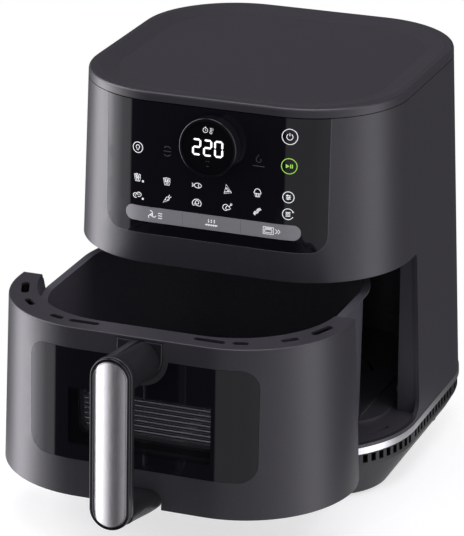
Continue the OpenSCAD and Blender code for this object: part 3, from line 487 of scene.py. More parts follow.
def bump(tree, shader, height, strength, distance):
    """Gives a shader its normal from a height."""
    node = tree.nodes.new("ShaderNodeBump")
    node.inputs["Strength"].default_value = strength
    node.inputs["Distance"].default_value = distance
    tree.links.new(height, node.inputs["Height"])
    tree.links.new(node.outputs["Normal"], shader.inputs["Normal"])


def grained(name, colour, roughness, scale, flakes, spread, strength, distance=0.00006, **values):
    """A moulded or coated finish with grain: colour, roughness and height all vary."""
    material, tree, shader = new_material(name, colour, roughness, **values)
    group = tree.nodes.new("ShaderNodeGroup")
    group.node_tree = bpy.data.node_groups["Moulded grain"]
    group.inputs["Scale"].default_value = scale
    group.inputs["Flakes"].default_value = flakes
    tree.links.new(object_place(tree), group.inputs["Vector"])
    bright = tuple(min(1.0, c * 3.2 + 0.01) for c in colour)
    tree.links.new(blend_colour(tree, group.outputs["Flake"], colour, bright), shader.inputs["Base Color"])
    rough = between(tree, group.outputs["Unevenness"], roughness - spread, roughness + spread)
    tree.links.new(rough, shader.inputs["Roughness"])
    bump(tree, shader, group.outputs["Height"], strength, distance)
    return material


def brushed(name, colour, roughness, stretch, spread, strength, crown=0.0, **values):
    """A metal with streaks along one axis. crown rounds its face towards the left."""
    material, tree, shader = new_material(name, colour, roughness, Metallic=1.0, **values)
    group = tree.nodes.new("ShaderNodeGroup")
    group.node_tree = bpy.data.node_groups["Brushed"]
    group.inputs["Scale"].default_value = 1.0
    tree.links.new(object_place(tree, stretch), group.inputs["Vector"])
    dark = tuple(c * 0.72 for c in colour)
    tree.links.new(blend_colour(tree, group.outputs["Streak"], dark, colour), shader.inputs["Base Color"])
    rough = between(tree, group.outputs["Streak"], roughness - spread, roughness + spread)
    tree.links.new(rough, shader.inputs["Roughness"])
    bump(tree, shader, group.outputs["Height"], strength, 0.00003)
    if crown:
        split = tree.nodes.new("ShaderNodeSeparateXYZ")
        tree.links.new(object_place(tree), split.inputs[0])
        off = math_node(tree, "SUBTRACT", split.outputs["X"], 0.012)
        across = math_node(tree, "MULTIPLY", off, off)
        rounded = tree.nodes.new("ShaderNodeBump")
        rounded.inputs["Distance"].default_value = 1.0
        wire(tree, (math_node(tree, "MULTIPLY", across, -crown), rounded.inputs["Height"]),
             (rounded.outputs["Normal"], shader.inputs["Normal"].links[0].from_node.inputs["Normal"]))
    return material


def glossy(name, colour, roughness, haze=0.03, **values):
    """A gloss finish with faint uneven haze."""
    material, tree, shader = new_material(name, colour, roughness, **values)
    wide = noise(tree, object_place(tree), 60.0, 4.0)
    rough = between(tree, wide, max(0.01, roughness - haze), roughness + haze)
    tree.links.new(rough, shader.inputs["Roughness"])
    return material


def plate_with_painted_rib_highlights(colour):
    """The coated plate, with a painted highlight: paler along the tops of its ribs, where they would catch
    the light.
    """
    material = grained("Plate coating with painted highlights", colour, 0.30, 1500.0, 0.4, 0.05, 0.2)
    tree = material.node_tree
    shader = tree.nodes["Principled BSDF"]
    base = shader.inputs["Base Color"].links[0].from_socket
    split = tree.nodes.new("ShaderNodeSeparateXYZ")
    tree.links.new(object_place(tree), split.inputs[0])
    # Painted highlight: rib tops within half a millimetre of the plate's top turn pale grey, standing in for
    # the light they catch.
    top = corner_of("crisper_plate", True).z
    over = math_node(tree, "SUBTRACT", split.outputs["Z"], top - 0.0005)
    painted_highlight_mask = math_node(tree, "MULTIPLY", over, 4000.0, clamp=True)
    mix = tree.nodes.new("ShaderNodeMix")
    mix.data_type = "RGBA"
    mix.inputs["B"].default_value = (0.30, 0.30, 0.31, 1)
    wire(tree, (painted_highlight_mask, mix.inputs["Factor"]), (base, mix.inputs["A"]),
         (mix.outputs["Result"], shader.inputs["Base Color"]))


def masked_window():
    """A black gloss pane, see-through only in front of the inner window's lower part."""
    low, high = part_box("inner_window")
    material, tree, shader = new_material("Smoked window", (0.0060, 0.0055, 0.0085), 0.035)
    place = object_place(tree)
    split = tree.nodes.new("ShaderNodeSeparateXYZ")
    wire(tree, (place, split.inputs[0]))
    inside = None
    clear_top = low.z + (high.z - low.z) * 0.64
    for axis, middle, half, sharp in (("X", 0.0, high.x - 0.0030, 2500.0),
                                      ("Z", (low.z + clear_top) / 2, (clear_top - low.z) / 2, 300.0)):
        off = math_node(tree, "ABSOLUTE", math_node(tree, "SUBTRACT", split.outputs[axis], middle))
        near = math_node(tree, "MULTIPLY", math_node(tree, "SUBTRACT", half, off), sharp, clamp=True)
        inside = near if inside is None else math_node(tree, "MULTIPLY", inside, near)
    wire(tree, (between(tree, inside, 1.0, 0.22), shader.inputs["Alpha"]))
    wide = noise(tree, place, 60.0, 4.0)
    wire(tree, (between(tree, wide, 0.023, 0.047), shader.inputs["Roughness"]))


def lit(name, colour, strength):
    """A mark lit from behind, a little uneven."""
    material, tree, shader = new_material(name, colour, 0.4, Emission_Strength=strength)
    wide = noise(tree, object_place(tree), 900.0, 1.0)
    soft = blend_colour(tree, wide, tuple(c * 0.86 for c in colour), colour)
    wire(tree, (soft, shader.inputs["Emission Color"]), (soft, shader.inputs["Base Color"]))
    return material


def make_finishes(colours, sizes):
    """Builds the node groups and every material, by name."""
    grain_group()
    brushed_group()
    shell = tuple(colours.shell)
    grained("Charcoal moulding", shell, 0.36, sizes.grain, 0.55, 0.03, 0.30, Specular_IOR_Level=0.62)
    grained("Base moulding", tuple(c * 0.75 for c in shell), 0.5, sizes.grain, 0.3, 0.04, 0.3)
    grained("Handle moulding", tuple(c * 0.42 for c in shell), 0.36, sizes.grain, 0.3, 0.03, 0.2)
    grained("Black moulding", (0.008, 0.008, 0.009), 0.42, 1800.0, 0.2, 0.05, 0.2)
    grained("Cavity moulding", (0.050, 0.048, 0.056), 0.30, 1200.0, 0.1, 0.05, 0.15)
    grained("Non-stick coating", tuple(colours.coating), 0.40, 1500.0, 0.5, 0.05, 0.25)
    # The plate's rib tops get a painted highlight.
    plate_with_painted_rib_highlights(tuple(colours.coating))
    grained("Rubber", (0.012, 0.012, 0.012), 0.75, 900.0, 0.2, 0.05, 0.3)
    grained("Circuit board", (0.015, 0.085, 0.035), 0.45, 500.0, 0.3, 0.05, 0.1)
    grained("Components", (0.012, 0.012, 0.013), 0.5, 700.0, 0.2, 0.05, 0.2)
    grained("Ceramic", (0.72, 0.70, 0.64), 0.55, 900.0, 0.15, 0.05, 0.2)
    grained("Oxidised steel", (0.07, 0.065, 0.06), 0.55, 700.0, 0.5, 0.08, 0.3, Metallic=0.8)
    glossy("Panel gloss", (0.0060, 0.0055, 0.0085), 0.035, 0.012)
    glossy("Display glass", (0.003, 0.003, 0.004), 0.04, 0.012)
    masked_window()
    glossy("Clear glass", (0.30, 0.31, 0.32), 0.03, 0.01, Alpha=0.10)
    glossy("Bright trim", (0.78, 0.78, 0.80), 0.22, 0.03, Metallic=1.0)
    grained("Silver strip", (0.40, 0.40, 0.42), 0.36, 2600.0, 0.12, 0.03, 0.05, Metallic=0.25)
    brushed("Brushed insert", (0.80, 0.79, 0.80), 0.34, (2600, 2600, 24), 0.03, 0.008, 8.0)
    brushed("Sheet steel", (0.42, 0.42, 0.43), 0.34, (1400, 60, 1400), 0.08, 0.15)
    brushed("Screw steel", (0.50, 0.50, 0.51), 0.30, (900, 900, 200), 0.05, 0.1)
    brushed("Motor steel", (0.36, 0.36, 0.38), 0.38, (900, 900, 60), 0.06, 0.12)
    brushed("Copper", (0.55, 0.27, 0.12), 0.32, (300, 300, 3000), 0.05, 0.2)
    lit("Lit mark", tuple(colours.marks), 0.55)
    lit("Lit digit", (0.95, 0.96, 0.97), 1.0)
    lit("Dim mark", (0.05, 0.05, 0.055), 0.25)
    lit("Start mark", tuple(colours.ready), 0.6)
    lit("Strip mark", (0.93, 0.93, 0.94), 0.5)
    # Painted highlight: a pale grey gloss for the line round the control panel, standing in for the light its
    # bevel catches.
    glossy("Painted edge highlight", (0.10, 0.10, 0.105), 0.12, 0.02)
    glossy("Strip seam", (0.16, 0.16, 0.17), 0.3, 0.02)


def sized(lines, across, up):
    """Lines made wider or narrower and higher or lower."""
    return [([(x * across, y * up) for x, y in points], closed) for points, closed in lines]


FINISH_OF_SLOT = {
    "charcoal_plastic": "Charcoal moulding", "black_gloss": "Panel gloss",
    "black_plastic": "Black moulding", "smoked_window": "Smoked window",
    "display_window": "Display glass", "clear_glass": "Clear glass",
    "bright_trim": "Bright trim", "silver_strip": "Silver strip",
    "brushed_insert": "Brushed insert", "nonstick_coating": "Non-stick coating",
    "liner_plastic": "Cavity moulding", "liner_steel": "Cavity moulding", "sheet_steel": "Sheet steel",
    "element_steel": "Oxidised steel", "screw_steel": "Screw steel", "motor_steel": "Motor steel",
    "circuit_board": "Circuit board", "board_components": "Components",
    "copper_windings": "Copper", "ceramic_white": "Ceramic", "rubber_black": "Rubber",
}
OWN_FINISH = {
    "base_pan": "Base moulding", "crisper_plate": "Plate coating with painted highlights", "handle_grip": "Handle moulding",
    "vent_band": "Black moulding",
}


class FRYER_OT_finishes(bpy.types.Operator):
    """Builds every finish and gives each frame piece its own"""
    bl_idname = "fryer.finishes"
    bl_label = "Finishes"

    def execute(self, context):
        make_finishes(context.scene.fryer_colours, context.scene.fryer_sizes)
        for row in frame["record"]["subparts"]:
            node = NODES[row["node"]]
            finish = OWN_FINISH.get(row["node"]) or FINISH_OF_SLOT[row["material_slot"]]
            node.data.materials.clear()
            node.data.materials.append(bpy.data.materials[finish])
        return {"FINISHED"}


# ---------------------------------------------------------------- panel marks

DOT = [(circle(4.9, -2.6, 0.95, steps=14), True)]
FRIES = [([(-3.0, 0.4), (-2.1, -4.0), (2.1, -4.0), (3.0, 0.4), (1.2, -0.5), (-1.2, -0.5)], True),
         ([(-2.7, 0.9), (-3.4, 3.4), (-2.2, 3.8), (-1.5, 0.4)], False),
         ([(-1.0, 0.2), (-1.2, 4.3), (0.1, 4.3), (0.2, 0.1)], False),
         ([(0.8, 0.1), (1.5, 3.9), (2.8, 3.4), (2.3, 0.7)], False),
         ([(-0.9, -1.2), (-0.7, -3.2)], False), ([(0.9, -1.2), (0.7, -3.2)], False)]
NUGGETS = [(circle(-1.9, -0.6, 2.4, 20, 300, 16), False), (circle(1.5, 0.8, 2.3, -120, 190, 16), False),
           ([(-2.8, -0.3), (-1.6, -0.9)], False), ([(1.0, 1.4), (2.2, 0.9)], False)]
CARROT = [(turned([(-5.0, 0), (1.2, 1.7), (2.4, 0.9), (2.4, -0.9), (1.2, -1.7)], 42), True),
          (turned([(2.4, 0.6), (4.9, 1.5)], 42), False), (turned([(2.4, -0.3), (5.0, -0.9)], 42), False),
          (turned([(-1.6, 0.9), (-1.0, -0.1)], 42), False), (turned([(0.4, -1.3), (0.9, -0.3)], 42), False)]
FISH = [(circle(0.8, -1.9, 4.3, 28, 152, 16), False), (circle(0.8, 1.9, 4.3, -152, -28, 16), False),
        ([(-2.9, 0.1), (-5.0, 1.9), (-4.5, 0), (-5.0, -1.9), (-2.9, -0.1)], False),
        ([(1.9, 1.6), (1.4, 0), (1.9, -1.6)], False)]
STEAK = [(circle(0, -0.9, 4.2, -12, 192, 22) + [(-3.3, -3.0), (-1.2, -2.3), (1.4, -3.1), (3.5, -3.2)], True),
         (circle(0.3, 0.2, 1.7, steps=14), True), ([(-2.7, -1.2), (-1.5, -0.7)], False)]
PIZZA = [(turned([(0, 4.3), (-3.3, -2.9), (3.3, -2.9)], 12), True),
         (turned([(-3.0, -1.7), (3.0, -1.7)], 12), False),
         (circle(-0.4, 0.9, 0.55, steps=10), True), (circle(1.0, -0.6, 0.55, steps=10), True)]
CHICKEN = [(circle(-1.2, -0.5, 2.9, 50, 330, 20) + [(2.0, -2.6), (3.6, -1.2), (2.3, 0.4), (1.0, 1.4)], True),
           ([(2.2, 0.6), (4.0, 2.3)], False), (circle(4.3, 2.9, 0.75, steps=12), True),
           (circle(0.4, -0.9, 1.5, 90, 250, 10), False)]
MUFFIN = [(circle(0, 1.0, 2.9, 0, 180, 16) + [(-3.7, 0.1), (-3.0, -0.9), (3.0, -0.9), (3.7, 0.1)], True),
          ([(-2.6, -0.9), (-1.9, -4.2), (1.9, -4.2), (2.6, -0.9)], False),
          ([(-0.9, -1.2), (-0.7, -3.9)], False), ([(0.9, -1.2), (0.7, -3.9)], False)]
BACON = [(turned([(-4.2, -0.4), (-2.4, 0.7), (-0.4, -0.2), (1.6, 0.9), (4.2, 0.3), (4.2, 2.4), (1.6, 2.9),
                  (-0.4, 1.9), (-2.4, 2.8), (-4.2, 1.7)], 40, 0.9, -0.9), True),
         (turned([(-4.0, 0.7), (-2.4, 1.7), (-0.4, 0.8), (1.6, 1.9), (4.0, 1.4)], 40, 0.9, -0.9), False)]
BULB = [(circle(0, 0, 4.4, steps=36), True), (circle(0, 0.5, 1.6, -60, 240, 16), False),
        ([(-0.7, -1.1), (-0.6, -2.1), (0.6, -2.1), (0.7, -1.1)], False)]
POWER = [(circle(0, 0, 6.3, steps=48), True), (circle(0, -0.1, 2.5, 122, 418, 24), False),
         ([(0, 0.6), (0, 3.0)], False)]
START = [(circle(0, 0, 6.3, steps=48), True)]
START_FILL = [([(-2.7, 1.7), (-2.7, -1.7), (0.3, 0)], True),
              ([(0.8, 1.6), (0.8, -1.6), (1.6, -1.6), (1.6, 1.6)], True),
              ([(2.2, 1.6), (2.2, -1.6), (3.0, -1.6), (3.0, 1.6)], True)]
MODE = [(circle(0, 0, 4.6, steps=40), True)] + [([(-1.9, y), (1.9, y)], False) for y in (1.4, 0, -1.4)]
MODE_FILL = [(circle(-0.8, 1.4, 0.75, steps=12), True), (circle(0.9, 0, 0.75, steps=12), True),
             (circle(-0.3, -1.4, 0.75, steps=12), True)]
TRAYS = [(circle(0, 0, 4.5, 28, 332, 36), False)] + [
    ([(-1.9, y), (1.9, y)], False) for y in (1.5, 0.5, -0.6, -1.7)]
TRAYS_FILL = [([(3.2, 1.3), (5.0, 1.6), (3.9, 3.0)], True)]
SHAKE = [(circle(0, 0.6, 3.4, 35, 145, 14), False), (circle(0, -0.6, 3.4, 215, 325, 14), False),
         ([(-3.2, 0), (3.2, 0)], False)]
FLAME = [([(0, 4.2), (-2.2, 1.0), (-1.9, -1.2), (0, -2.2), (1.9, -1.2), (2.0, 0.8), (0.9, 0.1)], False),
         ([(-5.0, -5.2), (5.0, -5.2)], False)]
CLOCK = [(circle(0, 0, 2.0, steps=26), True), ([(0, 1.1), (0, 0), (0.8, -0.5)], False),
         ([(-0.5, 2.6), (0.5, 2.6)], False)]
GAUGE = [(circle(0, -1.3, 0.95, 120, 420, 14), False),
         ([(-0.5, -0.4), (-0.5, 2.3), (0.5, 2.3), (0.5, -0.4)], False),
         ([(1.2, 1.9), (2.2, 1.9)], False), ([(1.2, 0.7), (2.0, 0.7)], False)]
UNIT_MARKS = [([(-1.6, 0), (-0.6, 0)], False), ([(0.3, 0), (1.6, 0)], False),
              ([(-0.9, -4.0), (0.9, -4.0)], False)]
AIR = [(circle(0, 0, 0.9, steps=14), True)] + [
    (turned(circle(2.0, 0, 1.7, 190, 350, 10), a), False) for a in (0, 120, 240)] + [
    ([(5.6, y), (6.8, y + 0.6), (8.0, y), (9.2, y + 0.6)], False) for y in (1.6, -0.4, -2.4)]
GRILL = [([(-5.4, -2.0), (5.4, -2.0)], False)] + [
    ([(x, -2.9), (x, -1.2)], False) for x in (-4, -2, 0, 2, 4)] + [
    ([(x, 0.0), (x + 0.7, 0.9), (x, 1.8), (x + 0.7, 2.7)], False) for x in (-2.8, -0.3, 2.2)]
OVEN = [([(-4.4, -2.9), (4.4, -2.9), (4.4, 2.9), (-4.4, 2.9)], True),
        ([(-3.0, -1.7), (3.0, -1.7), (3.0, 0.9), (-3.0, 0.9)], True), ([(-3.0, 1.9), (3.0, 1.9)], False),
        ([(6.0, 1.8), (7.8, 0), (6.0, -1.8)], False), ([(8.2, 1.8), (10.0, 0), (8.2, -1.8)], False)]

# Name, lines, filled shapes, finish, and place across and up the panel in millimetres
PANEL_MARKS = [
    ("mark_light", BULB, [], "Lit mark", -65.0, 286.8),
    ("mark_shake", SHAKE, [], "Dim mark", -39.0, 286.7),
    ("mark_preheat", FLAME, [], "Dim mark", 39.5, 289.3),
    ("mark_power", POWER, [], "Lit mark", 65.0, 311.3),
    ("mark_start", START, START_FILL, "Start mark", 65.0, 287.0),
    ("mark_mode", MODE, MODE_FILL, "Lit mark", 65.0, 261.2),
    ("mark_trays", TRAYS, TRAYS_FILL, "Lit mark", 65.0, 247.1),
    ("mark_fries_more", sized(FRIES, 0.92, 0.74), DOT, "Lit mark", -65.0, 261.4),
    ("mark_fries", sized(FRIES, 0.92, 0.74), [], "Lit mark", -39.0, 261.4),
    ("mark_fish", sized(FISH, 0.85, 0.85), [], "Lit mark", -13.0, 261.4),
    ("mark_pizza", PIZZA, [], "Lit mark", 13.0, 261.2),
    ("mark_muffin", sized(MUFFIN, 0.86, 0.82), [], "Lit mark", 39.0, 262.0),
    ("mark_nuggets_more", sized(NUGGETS, 0.9, 0.8), DOT, "Lit mark", -65.0, 246.6),
    ("mark_carrot", sized(CARROT, 0.9, 0.9), [], "Lit mark", -39.0, 246.4),
    ("mark_steak", sized(STEAK, 0.9, 0.86), [], "Lit mark", -13.0, 247.0),
    ("mark_chicken", sized(CHICKEN, 0.86, 0.86), [], "Lit mark", 13.0, 246.6),
    ("mark_bacon", sized(BACON, 0.86, 0.86), [], "Lit mark", 39.0, 246.2),
]
STRIP_MARKS = [("strip_air", AIR, -52.0), ("strip_grill", GRILL, 0.0), ("strip_oven", OVEN, 49.0)]


class FRYER_OT_panel_marks(bpy.types.Operator):
    """Draws the touch panel's marks on the curved panel"""
    bl_idname = "fryer.panel_marks"
    bl_label = "Panel marks"

    def execute(self, context):
        line = context.scene.fryer_sizes.line
        for name, lines, fills, finish, x, z in PANEL_MARKS:
            mark = draw(name, lines, fills, line)
            lay_on_wall(mark, x * MM, z * MM)
            complete(mark, name, "body", finish)
        return {"FINISHED"}


def outline_of(low, high, radius, open_top=False):
    """Points round a rectangle with round corners, in millimetres, clockwise from its upper left."""
    half, bottom, top = high.x / MM, low.z / MM, high.z / MM
    points = []
    if open_top:
        points.append((-half, top))
    else:
        points += circle(radius - half, top - radius, radius, 90, 180, 12)
    steps = 14
    points += [(-half, top - radius + (bottom + 2 * radius - top) * k / steps) for k in range(1, steps)]
    points += circle(radius - half, bottom + radius, radius, 180, 270, 12)
    wide = 2 * (half - radius)
    points += [(radius - half + wide * k / 40, bottom) for k in range(1, 40)]
    points += circle(half - radius, bottom + radius, radius, 270, 360, 12)
    points += [(half, bottom + radius + (top - 2 * radius - bottom) * k / steps) for k in range(1, steps)]
    if open_top:
        points.append((half, top))
    else:
        points += circle(half - radius, top - radius, radius, 0, 90, 12)
    return points


class FRYER_OT_edges(bpy.types.Operator):
    """Draws a painted highlight round the control panel: a pale grey line on its edge, in place of the light
    its bevel catches
    """
    bl_idname = "fryer.edges"
    bl_label = "Panel edge highlight"

    def execute(self, context):
        low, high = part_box("control_panel")
        # Painted highlight: the line follows the panel's edge, where its bevel would catch the light.
        edge = draw("panel_edge_highlight", [(outline_of(low, high, 14, True), False)], [], 0.0005)
        lay_on_wall(edge, 0, 0, 0.00001)
        complete(edge, "panel_edge_highlight", "body", "Painted edge highlight")
        return {"FINISHED"}


class FRYER_OT_strip_marks(bpy.types.Operator):
    """Draws the marks and the two seams on the touch strip"""
    bl_idname = "fryer.strip_marks"
    bl_label = "Strip marks"

    def execute(self, context):
        line = context.scene.fryer_sizes.line
        for name, lines, x in STRIP_MARKS:
            mark = draw(name, lines, [], line * 1.15)
            lay_on_wall(mark, x * MM, STRIP_Z, 0.00033)
            complete(mark, name, "body", "Strip mark")
        half = (STRIP_TOP.z - STRIP_LOW.z) / MM / 2 - 0.4
        for name, x in (("strip_seam_left", -25.2), ("strip_seam_right", 25.2)):
            seam = draw(name, [([(0, -half), (0, half)], False)], [], 0.0003)
            lay_on_wall(seam, x * MM, STRIP_Z, 0.00031)
            complete(seam, name, "body", "Strip seam")
        return {"FINISHED"}


# The bars of a digit: centre across and up in units of half its width and height, and whether upright
BARS = {"a": (0, 1, False), "b": (1, 0.5, True), "c": (1, -0.5, True), "d": (0, -1, False),
        "e": (-1, -0.5, True), "f": (-1, 0.5, True), "g": (0, 0, False)}
LIT_BARS = {"2": "abged", "0": "abcdef"}


class FRYER_OT_display(bpy.types.Operator):
    """Draws the display's digits and small signs inside the dial"""
    bl_idname = "fryer.display"
    bl_label = "Display"

    def execute(self, context):
        sizes = context.scene.fryer_sizes
        high = sizes.digit / MM / 2 - 0.8
        wide, thick, gap = 3.1, 1.6, 0.2
        shapes = []
        for digit, cx in (("2", -9.4), ("2", 0.0), ("0", 9.4)):
            for bar in LIT_BARS[digit]:
                bx, bz, upright = BARS[bar]
                length = (high if upright else 2 * wide) / 2 - gap
                end = thick / 2
                outline = [(-length, 0), (-length + end, end), (length - end, end), (length, 0),
                           (length - end, -end), (-length + end, -end)]
                outline = turned(outline, 90 if upright else 0, cx + bx * wide, bz * high)
                shapes.append((outline, True))
        digits = draw("display_digits", [], shapes, sizes.line)
        both = moved(CLOCK, -2.2, 14.6) + moved(GAUGE, 2.6, 14.4)
        signs = draw("display_signs", both, [], sizes.line * 0.7)
        units = draw("display_units", moved(UNIT_MARKS, 0, -11.2), [], sizes.line * 0.8)
        y0 = face_y(0, DIAL_Z)
        lens_out = farthest_out("display_lens", y0, DIAL_Z) + 0.00003
        for obj, finish in ((digits, "Lit digit"), (signs, "Lit mark"), (units, "Dim mark")):
            for v in obj.data.vertices:
                v.co = leaning(v.co.x, y0, DIAL_Z, v.co.z, lens_out - v.co.y)
            complete(obj, obj.name, "body", finish)
        return {"FINISHED"}


# ---------------------------------------------------------------- handle


def handle_ring(outline, out):
    """A ring of points that far out of the drawer's face."""
    return [on_drawer_face(x, up, out) for x, up in outline]


def grip_ring(inset, out, count, half=GRIP_HALF):
    """A ring round the grip, or round a narrower bar on the same middle, inset by some way."""
    bar = stadium(half - inset, GRIP_HIGH - GRIP_HALF + half - inset, count)
    return handle_ring([(x, GRIP_UP + y) for x, y in bar], out)


def make_grip():
    """The upright grip, rounded at its back."""
    return tube_of_rings("handle_moulding", [grip_ring(inset, out, RING_COUNT) for inset, out in (
        (0.0075, GRIP_BACK), (0.0045, GRIP_BACK + 0.0004), (0.002, GRIP_BACK + 0.0017),
        (0.0006, GRIP_BACK + 0.0042), (0.0, GRIP_BACK + 0.008), (0.0, GRIP_SEAT - 0.0006),
        (0.0005, GRIP_SEAT))])


def make_arms(rim_up):
    """The round neck from the rim to the grip's top, and the lower arm."""
    neck, neck_end, reach = 0.0168, 0.0160, 0.050
    low, high = rim_up - 0.0002 - neck, GRIP_UP + GRIP_HIGH - GRIP_HALF
    rings = []
    for t in (-0.04, 0.0, 0.004, 0.06, 0.3, 0.6, 0.85, 1.0):
        along = max(t, 0)
        r = neck + (neck_end - neck) * along
        centre = low + (high - low) * along
        rings.append(handle_ring([(x, centre + y) for x, y in stadium(r, r, RING_COUNT)], reach * t))
    upper_arm = tube_of_rings("arm_high", rings)
    rings = []
    for i in range(10):
        t = i / 9
        ease = t * t * (3 - 2 * t)
        wide = 0.0188 + (0.0155 - 0.0188) * ease
        bottom = 0.0008 + 0.0022 * ease
        upper = 0.0156 + 0.0030 * ease
        rings.append(handle_ring(arm_outline(wide, bottom, upper, t, RING_COUNT), -0.002 + reach * t))
    return upper_arm, tube_of_rings("arm_low", rings)


def make_bracket(rim_up):
    """The flush plate that the neck stands on, round at its lower end, with its edge rounded."""
    half, half_up, top = 0.0191, 0.017, rim_up - 0.0006
    middle = (BRACKET_Z - DRAWER_LOW.z) / math.cos(FACE_LEAN)
    outline = [(-half, top), (-half, middle)]
    outline += [(half * math.cos(a), middle + half * math.sin(a))
                for a in (math.pi * (1 + k / 24) for k in range(1, 24))]
    outline += [(half, middle), (half, top)]
    centre = (middle + top - half) / 2
    rings = []
    for inset, out in (
            (0.0, -0.0034), (0.0, -0.0005), (0.00015, -0.0001), (0.0005, 0.0001), (0.0012, 0.00014)):
        inner = [(x * (1 - inset / half), centre + (y - centre) * (1 - inset / half_up)) for x, y in outline]
        rings.append(handle_ring(inner, out))
    return tube_of_rings("handle_bracket", rings)


def make_frame():
    """The gloss frame round the insert, with rounded edges."""
    foot, out, wide = 0.05505, 0.058, 0.0031
    rings = [grip_ring(inset, height, FINE_COUNT) for inset, height in (
        (0.0004, foot), (0.0004, out - 0.0009), (0.00062, out - 0.00035), (0.0010, out), (wide - 0.0006, out),
        (wide - 0.00018, out - 0.0003), (wide, out - 0.0008), (wide, foot))]
    return tube_of_rings("handle_frame", rings + [rings[0]], False)


def make_line():
    """The polished line round the insert, on its edge."""
    insert_out = farthest_out("handle_insert", face_y(0, DRAWER_LOW.z) - DRAWER_OUT, DRAWER_LOW.z)
    edge = corner_of("handle_insert", True).x
    rings = [grip_ring(inset, insert_out + out, FINE_COUNT, edge) for inset, out in (
        (0.0002, -0.0002), (0.0002, 0.00002), (0.00035, 0.00005), (0.0005, 0.00002), (0.0005, -0.0002))]
    return tube_of_rings("handle_line", rings + [rings[0]], False)


class FRYER_OT_handle(bpy.types.Operator):
    """Models the bridge handle's moulding, its bracket, its gloss frame and the line round its insert"""
    bl_idname = "fryer.handle"
    bl_label = "Handle"

    def execute(self, context):
        rim_up = (corner_of("drawer_shell", True).z - DRAWER_LOW.z) / math.cos(FACE_LEAN)
        grip = make_grip()
        parts = [grip, *make_arms(rim_up)]
        plate = make_bracket(rim_up)
        moulding = join(parts, "handle_moulding")
        smooth(moulding, 40)
        complete(moulding, "handle_moulding", "drawer", "Handle moulding",
                 ("handle_grip",))
        smooth(plate, 30)
        complete(plate, "handle_bracket", "drawer", "Charcoal moulding")
        bezel = make_frame()
        smooth(bezel, 50)
        complete(bezel, "handle_frame", "drawer", "Panel gloss", ("handle_bezel",))
        trim = make_line()
        smooth(trim, 60)
        complete(trim, "handle_line", "drawer", "Bright trim")
        return {"FINISHED"}


def arm_outline(wide, bottom, upper, t, count):
    """Outline of the lower arm: squarish at the drawer, round at the grip."""
    high, middle = (upper - bottom) / 2, (upper + bottom) / 2
    points = []
    for i in range(count):
        a = 2 * math.pi * i / count
        c, s = math.cos(a), math.sin(a)
        power = 2.0 + 3.0 * (1 - t) * (1 if s < 0 else 0.6)
        points.append((wide * math.copysign(abs(c) ** (2 / power), c),
                       middle + high * math.copysign(abs(s) ** (2 / power), s)))
    return points


# ---------------------------------------------------------------- studio


def studio_world(strength):
    """A soft studio all round: strong light at the left, a dark flag in front, soft light at the right.

    The camera sees plain white in place of it.
    """
    world = bpy.context.scene.world or bpy.data.worlds.new("Studio")
    bpy.context.scene.world = world
    world.use_nodes = True
    tree = world.node_tree
    tree.nodes.clear()
    coords = tree.nodes.new("ShaderNodeTexCoord")
    split = tree.nodes.new("ShaderNodeSeparateXYZ")
    wire(tree, (coords.outputs["Generated"], split.inputs[0]))
    back = math_node(tree, "MULTIPLY", split.outputs["Y"], -1.0)
    turn = math_node(tree, "ARCTAN2", split.outputs["X"], back)
    place = math_node(tree, "ADD", math_node(tree, "DIVIDE", turn, 2 * math.pi), 0.5)

    def at(degrees):
        return 0.5 + degrees / 360

    ring = ramp(tree, place, [(at(azimuth), value / RING_PEAK) for azimuth, value in RING_LIGHT])
    up = math_node(tree, "ARCSINE", split.outputs["Z"])
    height = math_node(tree, "ADD", math_node(tree, "DIVIDE", up, math.pi), 0.5)
    low_part = ramp(tree, height, [(0.0, 0.1), (0.28, 0.35), (0.38, 1.0), (0.78, 1.0), (0.86, 0.0)])
    top_part = ramp(tree, height, [(0.85, 0.0), (0.91, 1.0)])
    low_light = math_node(tree, "MULTIPLY", math_node(tree, "MULTIPLY", ring, low_part), RING_PEAK)
    light = math_node(tree, "ADD", low_light, math_node(tree, "MULTIPLY", top_part, TOP_LIGHT))
    shader = tree.nodes.new("ShaderNodeBackground")
    shader.inputs["Color"].default_value = (0.965, 0.945, 1.0, 1)
    wire(tree, (math_node(tree, "MULTIPLY", light, strength), shader.inputs["Strength"]))
    seen = tree.nodes.new("ShaderNodeBackground")
    seen.inputs["Color"].default_value = (1, 1, 1, 1)
    path = tree.nodes.new("ShaderNodeLightPath")
    mix = tree.nodes.new("ShaderNodeMixShader")
    out = tree.nodes.new("ShaderNodeOutputWorld")
    wire(tree, (path.outputs["Is Camera Ray"], mix.inputs[0]), (shader.outputs[0], mix.inputs[1]),
         (seen.outputs[0], mix.inputs[2]), (mix.outputs[0], out.inputs["Surface"]))


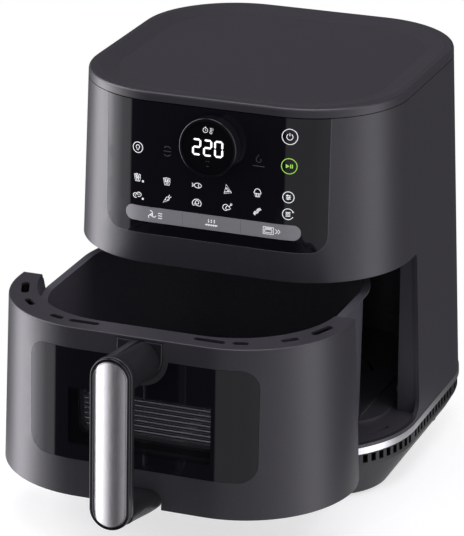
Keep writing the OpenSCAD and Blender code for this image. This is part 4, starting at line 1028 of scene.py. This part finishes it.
class FRYER_OT_studio(bpy.types.Operator):
    """Sets up the pale floor, the soft light and the camera"""
    bl_idname = "fryer.studio"
    bl_label = "Studio"

    def execute(self, context):
        settings = context.scene.fryer_studio
        studio_world(settings.brightness)
        deselect()
        bpy.ops.mesh.primitive_circle_add(
            vertices=96, radius=FLOOR_RADIUS, fill_type="NGON", location=FLOOR_MIDDLE)
        floor = settle(context.object)
        floor.name = "floor"
        pale, tree, shader = new_material(
            "Pale floor", (settings.floor,) * 3, 0.9, Specular_IOR_Level=0.0)
        shader.inputs["Emission Color"].default_value = (1, 1, 1, 1)
        shader.inputs["Emission Strength"].default_value = settings.glow
        place = object_place(tree)
        shift = tree.nodes.new("ShaderNodeVectorMath")
        shift.operation = "DISTANCE"
        shift.inputs[1].default_value = FLOOR_MIDDLE
        wire(tree, (place, shift.inputs[0]))
        fade = tree.nodes.new("ShaderNodeMapRange")
        fade.interpolation_type = "SMOOTHSTEP"
        for label, value in zip(("From Min", "From Max", "To Min", "To Max"), (*FLOOR_FADE, 1.0, 0.0)):
            fade.inputs[label].default_value = value
        wire(tree, (shift.outputs["Value"], fade.inputs["Value"]),
             (fade.outputs["Result"], shader.inputs["Alpha"]))
        floor.data.materials.append(pale)
        lens = bpy.data.cameras.new("view")
        lens.lens = VIEW_LENS
        lens.sensor_width = 36
        lens.clip_start, lens.clip_end = 0.05, 50
        camera = bpy.data.objects.new("view", lens)
        context.scene.collection.objects.link(camera)
        camera.location = VIEW_PLACE
        camera.rotation_euler = tuple(math.radians(a) for a in VIEW_TURN)
        context.scene.camera = camera
        context.scene.view_settings.view_transform = "Standard"
        return {"FINISHED"}


# ---------------------------------------------------------------- panel and running


class FRYER_PT_sidebar(bpy.types.Panel):
    """Lists the settings and the operators in the order they run"""
    bl_label = "Air fryer"
    bl_idname = "FRYER_PT_sidebar"
    bl_space_type = "VIEW_3D"
    bl_region_type = "UI"
    bl_category = "Fryer"

    def draw(self, context):
        column = self.layout.column()
        scene = context.scene
        for group in (scene.fryer_colours, scene.fryer_sizes, scene.fryer_studio):
            for label in group.__annotations__:
                column.prop(group, label)
        for operator in OPERATORS:
            column.operator(operator.bl_idname)


OPERATORS = (FRYER_OT_finishes, FRYER_OT_panel_marks, FRYER_OT_edges, FRYER_OT_strip_marks, FRYER_OT_display,
             FRYER_OT_handle, FRYER_OT_studio)
CLASSES = (FryerColours, FryerSizes, FryerStudio) + OPERATORS + (FRYER_PT_sidebar,)


def register():
    for cls in CLASSES:
        bpy.utils.register_class(cls)
    bpy.types.Scene.fryer_colours = bpy.props.PointerProperty(type=FryerColours)
    bpy.types.Scene.fryer_sizes = bpy.props.PointerProperty(type=FryerSizes)
    bpy.types.Scene.fryer_studio = bpy.props.PointerProperty(type=FryerStudio)


def unregister():
    del bpy.types.Scene.fryer_studio
    del bpy.types.Scene.fryer_sizes
    del bpy.types.Scene.fryer_colours
    for cls in reversed(CLASSES):
        bpy.utils.unregister_class(cls)


def main():
    register()
    bpy.ops.fryer.finishes()
    bpy.ops.fryer.panel_marks()
    bpy.ops.fryer.edges()
    bpy.ops.fryer.strip_marks()
    bpy.ops.fryer.display()
    bpy.ops.fryer.handle()
    bpy.ops.fryer.studio()


if __name__ == "__main__":
    main()
